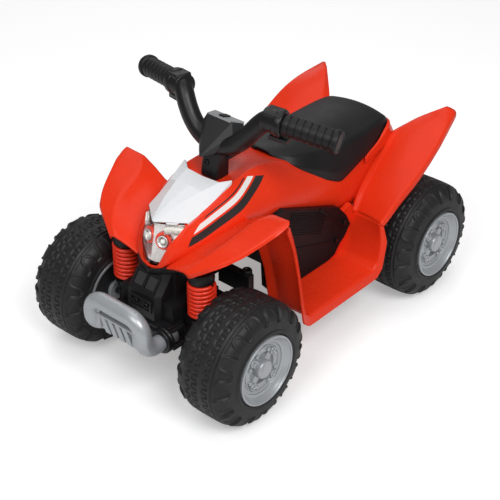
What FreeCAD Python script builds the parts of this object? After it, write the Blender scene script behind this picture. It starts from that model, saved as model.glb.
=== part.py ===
"""Battery quad bike for a small child, standing on its four wheels.

X points to the rider's left, Y to the rear and Z up. The origin is on the ground under the
middle of the wheelbase, and every length is in millimetres.
"""
import FreeCAD, Part
import math
import os
from FreeCAD import Vector

# Overall sizes that the moulded panels follow
HALF_LENGTH = 340.0
BODY_HALF_WIDTH = 176.0
BODY_HEIGHT = 320.0
TYRE_EDGE_SHARE = 0.3647
AXLE_SHARE = 0.6618
TYRE_TOP_SHARE = 0.63125
PANEL_WALL = 3.0
SEAM = 0.4
RUNNING_FIT = 0.05
OVERRUN = 40.0

# Wheels
WHEEL_RADIUS = 101.0
TYRE_WIDTH = 104.0
TYRE_WALL = 4.0
TREAD_SHARE = 0.66
TYRE_PROFILE_SHARES = [(-1, 0.12), (-1, 0.5), (-0.9, 0.78), (-0.66, 1),
                       (0.66, 1), (0.9, 0.78), (1, 0.5), (1, 0.12)]
TREAD_GROOVE_OFFSET = 29.0
TREAD_GROOVE_WIDTH = 4.0
TREAD_GROOVE_DEPTH = 2.5
SHOULDER_LUGS = 15
LUG_NOTCH_WIDTH = 7.0
LUG_NOTCH_DEPTH = 3.0
RIM_RADIUS = 57.0
RIM_WALL = 4.0
RIM_LIP = 2.0
DISH_DEPTH = 12.5
DISH_DRAFT = 8.0
WEB_THICKNESS = 5.0
HUB_RADIUS = 17.0
RIM_BOSS_RADIUS = 6.5
RIM_BOSS_HEIGHT = 4.0
RIM_BOSS_CIRCLE = 31.0
RIM_BOSSES = 4
HUB_CAP_RADIUS = 15.5
HUB_CAP_CLEARANCE = 1.1
HUB_CAP_WALL = 2.5
WHEELBASE = 450.0
FRONT_TRACK = 315.0
REAR_TRACK = 307.0
AXLE_RADIUS = 6.0
NUT_RADIUS = 10.0
NUT_LENGTH = 4.5
NUT_GAP = 0.4
NUT_SIDES = 6

# Front suspension and steering knuckles
KINGPIN_X = 80.0
KINGPIN_RADIUS = 9.0
KINGPIN_STAND = 4.0
KNUCKLE_RADIUS = 16.0
KNUCKLE_LOW = 84.0
LOWER_RING_LOW = 118.0
LOWER_RING_HIGH = 138.0
UPPER_RING_SHARE = 0.6625
UPPER_RING_DEPTH = 8.0
RING_RADIUS = 17.0
SHOCK_TUBE_RADIUS = 13.0
SPRING_RADIUS = 18.0
SPRING_WIRE_RADIUS = 2.3
SPRING_TURNS = 8
SPRING_LEAD_SHARE = 0.18
ARM_LENGTH = 94.0
ARM_WIDTH = 14.0
ARM_LOW = 88.0
ARM_HIGH = 98.0
ARM_PIN_RADIUS = 4.0
LINK_GAP = 0.3
TIE_THICKNESS = 8.0
TIE_WIDTH = 16.0
TIE_END_LENGTH = 26.0
TIE_EYE_RADIUS = 14.0
PIN_SIDE_PLAY = 0.9
PIN_SLOT_TRAVEL = 5.0
CRANK_SLOT_TRAVEL = 10.0
PIN_STAND = 3.0

# Steering column and bars
COLUMN_RAKE = 15.0
COLUMN_SETBACK = 112.0
COLUMN_Z = 304.0
COLUMN_RADIUS = 8.0
COLUMN_LOW = 122.0
COLUMN_TOP_GAP = 3.0
COLUMN_HOLE_RADIUS = 12.0
CRANK_LENGTH = 36.0
CRANK_THICKNESS = 8.0
CRANK_WIDTH = 18.0
BUSH_RADIUS = 13.0
BUSH_LENGTH = 42.0
BUSH_HEIGHT = 168.0
BAR_RADIUS = 14.0
BAR_BEND_RADIUS = 27.0
BAR_POINT_SHARES = [(0, -0.0202, 0.1924), (0.114, -0.0251, 0.2105), (0.409, -0.0249, 0.6142)]
BAR_END_SHARES = (0.9553, 0.273, -0.1131)
POST_LOW_SHARE = 0.9782
POST_DROP = 6.0
POST_LOW_HALF_WIDTH = 15.5
POST_LOW_HALF_DEPTH = 15.0
POST_HIGH_HALF_WIDTH = 17.6
POST_HIGH_HALF_DEPTH = 16.3
POST_SCREW_RADIUS = 3.5
POST_SCREW_DEPTH = 4.0
GRIP_LENGTH = 84.0
GRIP_RADIUS = 16.0
GRIP_FLANGE_RADIUS = 18.0
GRIP_FLANGE = 5.0
GRIP_RIBS = 7
GRIP_RIB_HEIGHT = 0.8
COLLAR_CLEARANCE = 1.0
COLLAR_LENGTH = 24.0
COLLAR_RADIUS = 18.0
COLLAR_PAD_DROP = 21.5
COLLAR_PAD_WIDTH = 18.0
COLLAR_BOX_RISE = 19.5
COLLAR_BOX_WIDTH = 24.0
LEVER_LENGTH = 30.0
LEVER_WIDTH = 15.0
LEVER_THICKNESS = 7.0
LEVER_PIN_RADIUS = 3.0
LEVER_PIN_LENGTH = 5.5
DASH_SHARES = [
    [(-0.085, -0.096, 0.216), (-0.043, -0.1719, 0.2105), (0, -0.2245, 0.2051),
     (0.043, -0.1719, 0.2105), (0.085, -0.096, 0.216)],
    [(-0.22, 0.0495, 0.3578), (-0.207, -0.0999, 0.3815), (0, -0.1466, 0.3687),
     (0.207, -0.0999, 0.3815), (0.22, 0.0495, 0.3578)],
    [(-0.193, 0.0724, 0.4596), (-0.136, -0.0591, 0.5105), (0, -0.0721, 0.516),
     (0.136, -0.0591, 0.5105), (0.193, 0.0724, 0.4596)],
]
DASH_PANEL_SHARES = [(-0.125, -0.0377, 0.4887), (0.125, -0.0377, 0.4887),
                     (0.17, 0.1059, 0.4433), (-0.17, 0.1059, 0.4433)]
ROCKER_LENGTH = 16.0
ROCKER_WIDTH = 10.0
ROCKER_HEIGHT = 5.0
ROCKER_PIN_RADIUS = 1.5
ROCKER_PLAY = 1.2

# Chassis
BLOCK_HALF_WIDTH = 54.0
BLOCK_FRONT_SHARE = -0.7706
BLOCK_SETBACK = 39.0
BLOCK_LOW = 80.0
BLOCK_HIGH = 160.0
CHASSIS_WALL = 4.0
TOWER_HALF_WIDTH = 40.0
TOWER_FRONT_SHARE = -0.7059
TOWER_SETBACK = 20.0
TOWER_ARM_HALF = 10.0
BACKBONE_HALF_WIDTH = 30.0
BACKBONE_LOW = 150.0
BACKBONE_HIGH = 186.0
OUTRIGGER_REACH = 90.0
OUTRIGGER_FRONT_SHARE = -0.3824
OUTRIGGER_LENGTH = 12.0
OUTRIGGER_LOW = 130.0
OUTRIGGER_HIGH = 164.0
TRAY_HALF_WIDTH = 68.0
TRAY_FRONT_SHARE = 0.0059
TRAY_OVERHANG = 25.0
TRAY_LOW = 84.0
TRAY_HIGH = 132.0
FOOT_BAR_WIDTH = 16.0
FOOT_BAR_SHARES = [0.05, 0.23]
FOOT_BAR_HEIGHT = 12.0
FOOT_BAR_REACH_SHARE = 0.9375
BODY_POST_HALF_WIDTH = 8.0
BODY_POST_FRONT_SHARE = 0.4412
BODY_POST_LENGTH = 24.0

# Drive and power
GEAR_MODULE = 2.0
PINION_TEETH = 10
WHEEL_GEAR_TEETH = 40
GEAR_WIDTH = 8.0
GEAR_BACKLASH_SHARE = 0.2
GEAR_BOX_WALL = 3.0
GEAR_BOX_GAP = 2.0
GEAR_BOX_TYRE_GAP = 1.5
GEAR_HUB_RADIUS = 15.0
PINION_ANGLE = 150.0
MOTOR_RADIUS = 14.0
MOTOR_LENGTH = 46.0
MOTOR_SHAFT_RADIUS = 2.0
MOTOR_SHAFT_LENGTH = 12.0
BATTERY_WIDTH = 70.0
BATTERY_LENGTH = 47.0
BATTERY_HEIGHT = 100.0
BATTERY_SETBACK = 38.0
STRAP_WIDTH = 18.0
STRAP_THICKNESS = 2.0
SOCKET_RADIUS = 8.0
SOCKET_BORE_RADIUS = 2.75
SOCKET_BORE_DEPTH = 9.0
SOCKET_FLANGE_RADIUS = 11.0
SOCKET_FLANGE = 2.5
SOCKET_Z = 110.0
SOCKET_X = -36.0

# Bumper, grille, lamp and side panels
BUMPER_TUBE_RADIUS = 14.0
BUMPER_HALF_WIDTH = 52.0
BUMPER_LOW = 112.0
BUMPER_HIGH = 163.0
BUMPER_BEND_RADIUS = 24.0
BUMPER_PLATE_THICKNESS = 8.0
BUMPER_SLOTS = 4
BUMPER_SLOT_WIDTH = 9.0
BUMPER_SLOT_HEIGHT = 18.0
BUMPER_SLOT_DEPTH = 4.0
GRILLE_HALF_WIDTH = 34.0
GRILLE_FRONT_SHARE = -0.7882
GRILLE_TOP = 205.0
GRILLE_RECESS = 4.0
GRILLE_FRAME = 5.0
GRILLE_PANES = 3
LAMP_SHARES = [
    [(-0.091, -0.735, 0.684), (0, -0.753, 0.681), (0.091, -0.735, 0.684)],
    [(-0.159, -0.724, 0.772), (0, -0.756, 0.769), (0.159, -0.724, 0.772)],
    [(-0.21, -0.653, 0.838), (0, -0.741, 0.838), (0.21, -0.653, 0.838)],
    [(-0.222, -0.621, 0.866), (0, -0.721, 0.869), (0.222, -0.621, 0.866)],
]
LENS_WALL = 2.0
LAMP_DEPTH = 15.0
REFLECTOR_SCALE_SHARE = 0.94
BULB_RADIUS = 4.0
BULB_GAP = 2.3
BULB_SPACING = 26.0
PANEL_INNER_X = 80.0
PANEL_OUTER_X = 98.0
PANEL_RIM = 4.0
FOOTWELL_GAP = 1.0
PANEL_VENTS = 6
PANEL_VENT_WIDTH = 4.0
PANEL_VENT_PITCH = 11.0
PANEL_VENT_LOW = 150.0
PANEL_VENT_HIGH = 178.0
PANEL_VENT_START = -58.0
PANEL_VENT_DEPTH = 2.0
SCREW_HEAD_RADIUS = 4.0
SCREW_HEAD = 2.5
SCREW_PLACE_SHARES = [(-0.235, 0.42), (-0.235, 0.62), (0.235, 0.42), (0.294, 0.5)]

# Cross sections of the centre body, from nose to tail: each half runs from its lower edge to the top
BODY_SECTION_SHARES = [
    (-0.735, [(0.114, 0.663), (0.193, 0.7), (0.205, 0.738), (0.148, 0.781), (0.08, 0.819), (0, 0.831)]),
    (-0.615, [(0.295, 0.713), (0.33, 0.744), (0.347, 0.772), (0.284, 0.831), (0.227, 0.878), (0, 0.903)]),
    (-0.485, [(0.33, 0.713), (0.375, 0.756), (0.409, 0.806), (0.341, 0.875), (0.256, 0.936), (0, 0.95)]),
    (-0.376, [(0.352, 0.713), (0.415, 0.775), (0.477, 0.853), (0.375, 0.919), (0.273, 0.984), (0, 0.969)]),
    (-0.306, [(0.369, 0.7), (0.432, 0.763), (0.489, 0.838), (0.386, 0.919), (0.267, 0.978), (0, 0.941)]),
    (-0.176, [(0.386, 0.656), (0.466, 0.734), (0.5, 0.806), (0.398, 0.922), (0.25, 0.997), (0, 0.956)]),
    (0, [(0.398, 0.609), (0.489, 0.703), (0.5, 0.766), (0.42, 0.875), (0.227, 0.95), (0, 0.956)]),
    (0.176, [(0.42, 0.562), (0.5, 0.641), (0.5, 0.703), (0.455, 0.806), (0.25, 0.85), (0, 0.859)]),
    (0.291, [(0.432, 0.516), (0.5, 0.594), (0.506, 0.672), (0.477, 0.741), (0.284, 0.8), (0, 0.812)]),
    (0.441, [(0.455, 0.5), (0.534, 0.569), (0.54, 0.613), (0.477, 0.75), (0.284, 0.8), (0, 0.809)]),
    (0.574, [(0.42, 0.531), (0.489, 0.641), (0.5, 0.694), (0.443, 0.772), (0.284, 0.806), (0, 0.816)]),
    (0.741, [(0.341, 0.594), (0.42, 0.703), (0.455, 0.769), (0.398, 0.825), (0.256, 0.838), (0, 0.844)]),
    (0.809, [(0.284, 0.641), (0.341, 0.713), (0.375, 0.766), (0.341, 0.806), (0.227, 0.825), (0, 0.831)]),
]
SEAT_SECTION_SHARES = [
    (0.006, [(0.091, 0.953), (0.085, 0.969), (0.045, 0.981), (0, 0.984)]),
    (0.059, [(0.364, 0.903), (0.261, 0.947), (0.136, 0.969), (0, 0.972)]),
    (0.176, [(0.438, 0.825), (0.33, 0.916), (0.17, 0.941), (0, 0.944)]),
    (0.291, [(0.494, 0.753), (0.375, 0.884), (0.193, 0.919), (0, 0.925)]),
    (0.441, [(0.472, 0.769), (0.375, 0.878), (0.193, 0.906), (0, 0.912)]),
    (0.588, [(0.432, 0.794), (0.37, 0.886), (0.193, 0.912), (0, 0.918)]),
    (0.721, [(0.381, 0.834), (0.347, 0.891), (0.187, 0.912), (0, 0.917)]),
    (0.765, [(0.33, 0.85), (0.301, 0.884), (0.165, 0.897), (0, 0.9)]),
]

# Nets of the left panels: rows run along the bike, columns from the middle outwards
FRONT_FENDER_SHARES = [
    [(0.17, -0.753, 0.7), (0.318, -0.768, 0.725), (0.455, -0.756, 0.741), (0.46, -0.759, 0.709)],
    [(0.25, -0.682, 0.738), (0.54, -0.712, 0.775), (0.733, -0.685, 0.828), (0.739, -0.688, 0.794)],
    [(0.307, -0.559, 0.769), (0.597, -0.559, 0.819), (0.835, -0.559, 0.872), (0.841, -0.562, 0.831)],
    [(0.352, -0.441, 0.809), (0.653, -0.441, 0.866), (0.92, -0.447, 0.922), (0.926, -0.45, 0.875)],
    [(0.398, -0.371, 0.844), (0.682, -0.371, 0.909), (0.96, -0.382, 0.953), (0.972, -0.385, 0.9)],
]
FOOTWELL_SHARES = [
    [(0.104, -0.382, 0.8), (0.8971, -0.362, 0.887), (0.9223, -0.394, 0.878)],
    [(0.104, -0.376, 0.716), (0.9611, -0.329, 0.775), (0.9863, -0.359, 0.769)],
    [(0.104, -0.332, 0.572), (0.9749, -0.294, 0.584), (1, -0.324, 0.581)],
    [(0.0514, -0.285, 0.344), (0.9863, -0.253, 0.338), (1, -0.282, 0.306)],
    [(0, -0.247, 0.316), (1, -0.224, 0.316), (1, -0.241, 0.269)],
    [(0, 0.253, 0.316), (1, 0.259, 0.316), (1, 0.265, 0.269)],
    [(0, 0.288, 0.35), (1, 0.288, 0.35), (1, 0.315, 0.312)],
    [(0, 0.332, 0.425), (0.9863, 0.312, 0.463), (0.9863, 0.341, 0.456)],
    [(0, 0.38, 0.517), (0.8834, 0.304, 0.552), (0.8971, 0.332, 0.544)],
]
FOOT_STRIP_SHARES = [(0.23, 0.31), (0.262, 0.31), (0.3, 0.345), (0.344, 0.422), (0.392, 0.522),
                     (0.33, 0.55), (0.25, 0.41)]
REAR_FENDER_SHARES = [
    [(0.477, 0.394, 0.534), (0.761, 0.353, 0.556), (0.949, 0.314, 0.57), (0.955, 0.326, 0.547)],
    [(0.466, 0.441, 0.616), (0.739, 0.447, 0.637), (0.943, 0.45, 0.656), (0.949, 0.453, 0.625)],
    [(0.42, 0.574, 0.7), (0.693, 0.571, 0.731), (0.955, 0.571, 0.716), (0.96, 0.571, 0.684)],
    [(0.386, 0.706, 0.781), (0.682, 0.688, 0.806), (0.955, 0.682, 0.784), (0.96, 0.682, 0.753)],
    [(0.352, 0.759, 0.812), (0.67, 0.776, 0.844), (0.938, 0.771, 0.838), (0.943, 0.771, 0.806)],
    [(0.574, 0.853, 0.881), (0.727, 0.868, 0.891), (0.903, 0.862, 0.872), (0.909, 0.862, 0.841)],
    [(0.727, 0.971, 0.922), (0.784, 0.985, 0.919), (0.841, 0.9974, 0.9), (0.847, 0.994, 0.878)],
]
COWL_SHARES = [
    [(-0.233, -0.615, 0.884), (-0.114, -0.674, 0.891), (0, -0.718, 0.887),
     (0.114, -0.674, 0.891), (0.233, -0.615, 0.884)],
    [(-0.267, -0.488, 0.941), (-0.17, -0.524, 0.953), (0, -0.547, 0.95),
     (0.17, -0.524, 0.953), (0.267, -0.488, 0.941)],
    [(-0.284, -0.356, 0.991), (-0.17, -0.394, 0.981), (0, -0.418, 0.978),
     (0.17, -0.394, 0.981), (0.284, -0.356, 0.991)],
]
ENGINE_PANEL_SHARES = [
    (-0.144, 0.781), (0.268, 0.594), (0.326, 0.55), (0.347, 0.494), (0.294, 0.416), (0.259, 0.394),
    (0.224, 0.328), (-0.206, 0.328), (-0.282, 0.388), (-0.306, 0.531), (-0.282, 0.672), (-0.206, 0.769),
]

# Places worked out from the sizes above
FRONT_AXLE_Y = -WHEELBASE / 2
REAR_AXLE_Y = WHEELBASE / 2
AXLE_Z = WHEEL_RADIUS
TYRE_HALF = TYRE_WIDTH / 2
COLUMN_Y = FRONT_AXLE_Y + COLUMN_SETBACK
UP = Vector(0, 0, 1)
LEFT = Vector(1, 0, 0)
REAR = Vector(0, 1, 0)
RAKE = math.radians(COLUMN_RAKE)
COLUMN_AXIS = Vector(0, math.sin(RAKE), math.cos(RAKE))
CRANK_REAR = Vector(0, math.cos(RAKE), -math.sin(RAKE))


def column_point(height):
    """Point on the steering axis at a height."""
    return Vector(0, COLUMN_Y + (height - COLUMN_Z) * math.tan(RAKE), height)


def stretched(share, stops):
    """Length at a share on a line of stops, each a share and its length; the last stretch carries on."""
    for (low, start), (high, end) in zip(stops, stops[1:]):
        if share <= high:
            break
    return start + (share - low) * (end - start) / (high - low)


def along_bike(share):
    """Place along the bike: between the tyres, beside them and beyond the axles."""
    axle = WHEELBASE / 2
    stops = [(0, 0), (TYRE_EDGE_SHARE, axle - WHEEL_RADIUS), (AXLE_SHARE, axle), (1, HALF_LENGTH)]
    return math.copysign(stretched(abs(share), stops), share)


def above_ground(share):
    """Height of a place: up to the tops of the tyres, and above them."""
    return stretched(share, [(0, 0), (TYRE_TOP_SHARE, 2 * WHEEL_RADIUS), (1, BODY_HEIGHT)])


def place(share):
    """Point of a panel from its shares of the overall sizes."""
    return Vector(share[0] * BODY_HALF_WIDTH, along_bike(share[1]), above_ground(share[2]))


def steering_place(share):
    """Point of a piece that turns with the bars, measured from the column's axis and the foot of its post."""
    offset = Vector(*share) * BODY_HALF_WIDTH
    return column_point(POST_LOW + offset.z) + Vector(offset.x, offset.y, 0)


def footwell_place(share):
    """Point of a footwell, its share across the bike measured from the side panel."""
    inner = PANEL_OUTER_X + FOOTWELL_GAP
    x = inner + share[0] * (BODY_HALF_WIDTH - inner)
    return Vector(x, along_bike(share[1]), above_ground(share[2]))


def net_points(shares, placing=place):
    return [[placing(share) for share in row] for row in shares]


# Places that follow the overall sizes
UPPER_RING_HIGH = above_ground(UPPER_RING_SHARE)
UPPER_RING_LOW = UPPER_RING_HIGH - UPPER_RING_DEPTH
KINGPIN_TOP = UPPER_RING_HIGH + KINGPIN_STAND
POST_LOW = above_ground(POST_LOW_SHARE)
BAR_HEIGHT = POST_LOW + BAR_POINT_SHARES[0][2] * BODY_HALF_WIDTH
COLUMN_HIGH = BAR_HEIGHT - BAR_RADIUS - COLUMN_TOP_GAP
POST_HIGH = BAR_HEIGHT - POST_DROP
BLOCK_FRONT = along_bike(BLOCK_FRONT_SHARE)
BLOCK_REAR = FRONT_AXLE_Y + BLOCK_SETBACK
GRILLE_FRONT = along_bike(GRILLE_FRONT_SHARE)
TOWER_FRONT = along_bike(TOWER_FRONT_SHARE)
TOWER_REAR = FRONT_AXLE_Y + TOWER_SETBACK
OUTRIGGER_FRONT = along_bike(OUTRIGGER_FRONT_SHARE)
TRAY_FRONT = along_bike(TRAY_FRONT_SHARE)
TRAY_REAR = REAR_AXLE_Y + TRAY_OVERHANG
BATTERY_FRONT = TRAY_FRONT + BATTERY_SETBACK
BODY_POST_FRONT = along_bike(BODY_POST_FRONT_SHARE)


def save(name, *solids):
    """Write the solids of one node."""
    shape = solids[0] if len(solids) == 1 else Part.makeCompound(list(solids))
    shape.exportStep(os.path.join("parts", name + ".step"))


def mirrored(shape):
    return shape.mirror(Vector(0, 0, 0), LEFT)


def save_pair(name, left):
    """Write a left piece and its mirror image."""
    save(name + "_left", left)
    save(name + "_right", mirrored(left))


def moved(shape, offset):
    copy = shape.copy()
    copy.translate(offset)
    return copy


def block(x_range, y_range, z_range):
    low = Vector(x_range[0], y_range[0], z_range[0])
    high = Vector(x_range[1], y_range[1], z_range[1])
    size = high - low
    return Part.makeBox(size.x, size.y, size.z, low)


def rod(start, end, radius):
    return Part.makeCylinder(radius, (end - start).Length, start, end - start)


def fused(first, *others):
    return first.multiFuse(list(others)).removeSplitter()


def largest(shape):
    """The main solid that a cut leaves."""
    return max(shape.Solids, key=lambda solid: solid.Volume)


def framed(shape, origin, along, upward):
    """Move a shape drawn on the axes to an origin, with its X along one direction."""
    z_axis = (upward - along * upward.dot(along)).normalize()
    y_axis = z_axis.cross(along)
    matrix = FreeCAD.Matrix(along.x, y_axis.x, z_axis.x, origin.x,
                            along.y, y_axis.y, z_axis.y, origin.y,
                            along.z, y_axis.z, z_axis.z, origin.z, 0, 0, 0, 1)
    return shape.transformed(matrix)


def turned(profile, centre):
    """Solid of revolution about X from a list of (offset, radius)."""
    points = [Vector(offset, 0, radius) for offset, radius in profile]
    face = Part.Face(Part.makePolygon(points + points[:1]))
    return moved(face.revolve(Vector(0, 0, 0), LEFT, 360), centre)


def closed_solid(faces):
    """Solid inside a closed set of faces."""
    shell = Part.makeShell(faces)
    shell.sewShape()
    solid = Part.makeSolid(shell)
    if solid.Volume < 0:
        solid.reverse()
    return solid


def between_nets(front, back):
    """Solid between two nets with the same rows and columns."""
    rows, columns = len(front), len(front[0])
    rim = [(i, 0) for i in range(rows - 1)] + [(rows - 1, j) for j in range(columns - 1)]
    rim += [(i, columns - 1) for i in range(rows - 1, 0, -1)] + [(0, j) for j in range(columns - 1, 0, -1)]
    faces = []
    for net in (front, back):
        for i in range(rows - 1):
            for j in range(columns - 1):
                faces.append(Part.makeRuledSurface(Part.makeLine(net[i][j], net[i][j + 1]),
                                                   Part.makeLine(net[i + 1][j], net[i + 1][j + 1])))
    for (i, j), (k, m) in zip(rim, rim[1:] + rim[:1]):
        for corners in ((front[i][j], front[k][m], back[i][j]), (back[i][j], front[k][m], back[k][m])):
            faces.append(Part.Face(Part.makePolygon(list(corners) + [corners[0]])))
    return closed_solid(faces)


def net_normal(net, i, j):
    """Mitre at a point of a net: it keeps the wall's thickness on the patches that meet there."""
    normals = []
    for a in (i - 1, i):
        for b in (j - 1, j):
            if 0 <= a < len(net) - 1 and 0 <= b < len(net[0]) - 1:
                along = net[a + 1][b] - net[a][b] + net[a + 1][b + 1] - net[a][b + 1]
                across = net[a][b + 1] - net[a][b] + net[a + 1][b + 1] - net[a + 1][b]
                normals.append(along.cross(across).normalize())
    middle = sum(normals[1:], normals[0]).normalize()
    slant = max(min(middle.dot(normal) for normal in normals), 1 / 2)
    return middle * (1 / slant)


def panel(net, wall):
    """Moulded panel whose wall lies on the side that a positive wall gives."""
    inner = [[net[i][j] + net_normal(net, i, j) * wall for j in range(len(net[i]))] for i in range(len(net))]
    return between_nets(net, inner)


def outset(points, grow):
    """Closed outline in a cross section, moved outwards by a length."""
    result = []
    for before, point, after in zip(points[-1:] + points[:-1], points, points[1:] + points[:1]):
        first = (point - before).normalize()
        second = (after - point).normalize()
        normal = Vector(first.z + second.z, 0, -first.x - second.x).normalize()
        slant = max(normal.dot(Vector(first.z, 0, -first.x)), 1 / 2)
        result.append(point + normal * (grow / slant))
    return result


def section_solid(sections, grow, drop=0.0):
    """Ruled solid through cross sections, grown all round and dropped at its lower edge."""
    wires = []
    ends = {0: -grow, len(sections) - 1: grow}
    for number, (y_share, half) in enumerate(sections):
        left = [place((x, y_share, z)) for x, z in half]
        right = [Vector(-point.x, point.y, point.z) for point in reversed(left[:-1])]
        outline = outset(left + right, grow)
        outline[0].z -= drop
        outline[-1].z -= drop
        for point in outline:
            point.y += ends.get(number, 0)
        wires.append(Part.makePolygon(outline + outline[:1]))
    return Part.makeLoft(wires, True, True)


def arc_corner(before, corner, after, radius):
    """Start, middle and end of the arc that rounds a corner of a path."""
    back = (before - corner).normalize()
    ahead = (after - corner).normalize()
    half = math.acos(back.dot(ahead)) / 2
    reach = radius / math.tan(half)
    bisector = (back + ahead).normalize()
    middle = corner + bisector * (radius / math.sin(half) - radius)
    return corner + back * reach, middle, corner + ahead * reach


def bent_tube(points, bend_radius, radius):
    """Round bar along straight runs joined by tangent arcs."""
    edges = []
    start = points[0]
    for before, corner, after in zip(points, points[1:], points[2:]):
        first, middle, last = arc_corner(before, corner, after, bend_radius)
        edges.append(Part.LineSegment(start, first).toShape())
        edges.append(Part.Arc(first, middle, last).toShape())
        start = last
    edges.append(Part.LineSegment(start, points[-1]).toShape())
    ring = Part.Wire([Part.makeCircle(radius, points[0], points[1] - points[0])])
    return Part.Wire(edges).makePipeShell([ring], True, False)


def biarc(start, start_direction, end, end_direction):
    """Two tangent arcs that join two points with given directions."""
    span = end - start
    total = start_direction + end_direction
    spread = 2 * (1 - start_direction.dot(end_direction))
    reach = (math.sqrt(span.dot(total) ** 2 + spread * span.dot(span)) - span.dot(total)) / spread
    first_apex = start + start_direction * reach
    last_apex = end - end_direction * reach
    joint = (first_apex + last_apex) * 0.5
    arcs = []
    for low, apex, high in ((start, first_apex, joint), (joint, last_apex, end)):
        chord = (low + high) * 0.5
        rise = (apex - chord).Length
        half = (high - low).Length / 2
        bow = half * math.tan(math.atan2(rise, half) / 2)
        arcs.append(Part.Arc(low, chord + (apex - chord) * (bow / rise), high).toShape())
    return arcs


def coil_spring(foot, height):
    """Helical spring that stands on its foot, with straight ends square to its seats."""
    lead = height * SPRING_LEAD_SHARE
    stub = SPRING_WIRE_RADIUS * 2
    low = stub + lead / 2
    rise = height - 2 * low
    quarters = SPRING_TURNS * 4

    def on_coil(step):
        angle = step * math.pi / 2
        height_now = low + rise * step / quarters
        spot = Vector(SPRING_RADIUS * math.cos(angle), SPRING_RADIUS * math.sin(angle), height_now)
        slope = rise / quarters / (math.pi / 2)
        heading = Vector(-SPRING_RADIUS * math.sin(angle), SPRING_RADIUS * math.cos(angle), slope)
        return foot + spot, heading.normalize()

    edges = []
    start, heading = on_coil(0)
    corner = SPRING_RADIUS * math.cos(math.pi / 4)
    entry = foot + Vector(corner, -corner, 0)
    edges.append(Part.LineSegment(entry, entry + UP * stub).toShape())
    edges += biarc(entry + UP * stub, UP, start, heading)
    for step in range(quarters):
        edges += biarc(*on_coil(step), *on_coil(step + 1))
    end, heading = on_coil(quarters)
    leave = foot + Vector(corner, corner, height - stub)
    edges += biarc(end, heading, leave, UP)
    edges.append(Part.LineSegment(leave, leave + UP * stub).toShape())
    path = Part.Wire(edges)
    ring = Part.Wire([Part.makeCircle(SPRING_WIRE_RADIUS, entry, UP)])
    spots = path.discretize(Distance=SPRING_WIRE_RADIUS)
    apart = math.ceil(math.pi * SPRING_RADIUS / SPRING_WIRE_RADIUS / 2)
    gap = min((spots[i] - spots[k]).Length for i in range(len(spots)) for k in range(i + apart, len(spots)))
    print("spring: least gap to itself %.2f mm" % (gap - 2 * SPRING_WIRE_RADIUS))
    return path.makePipeShell([ring], True, False)


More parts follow.
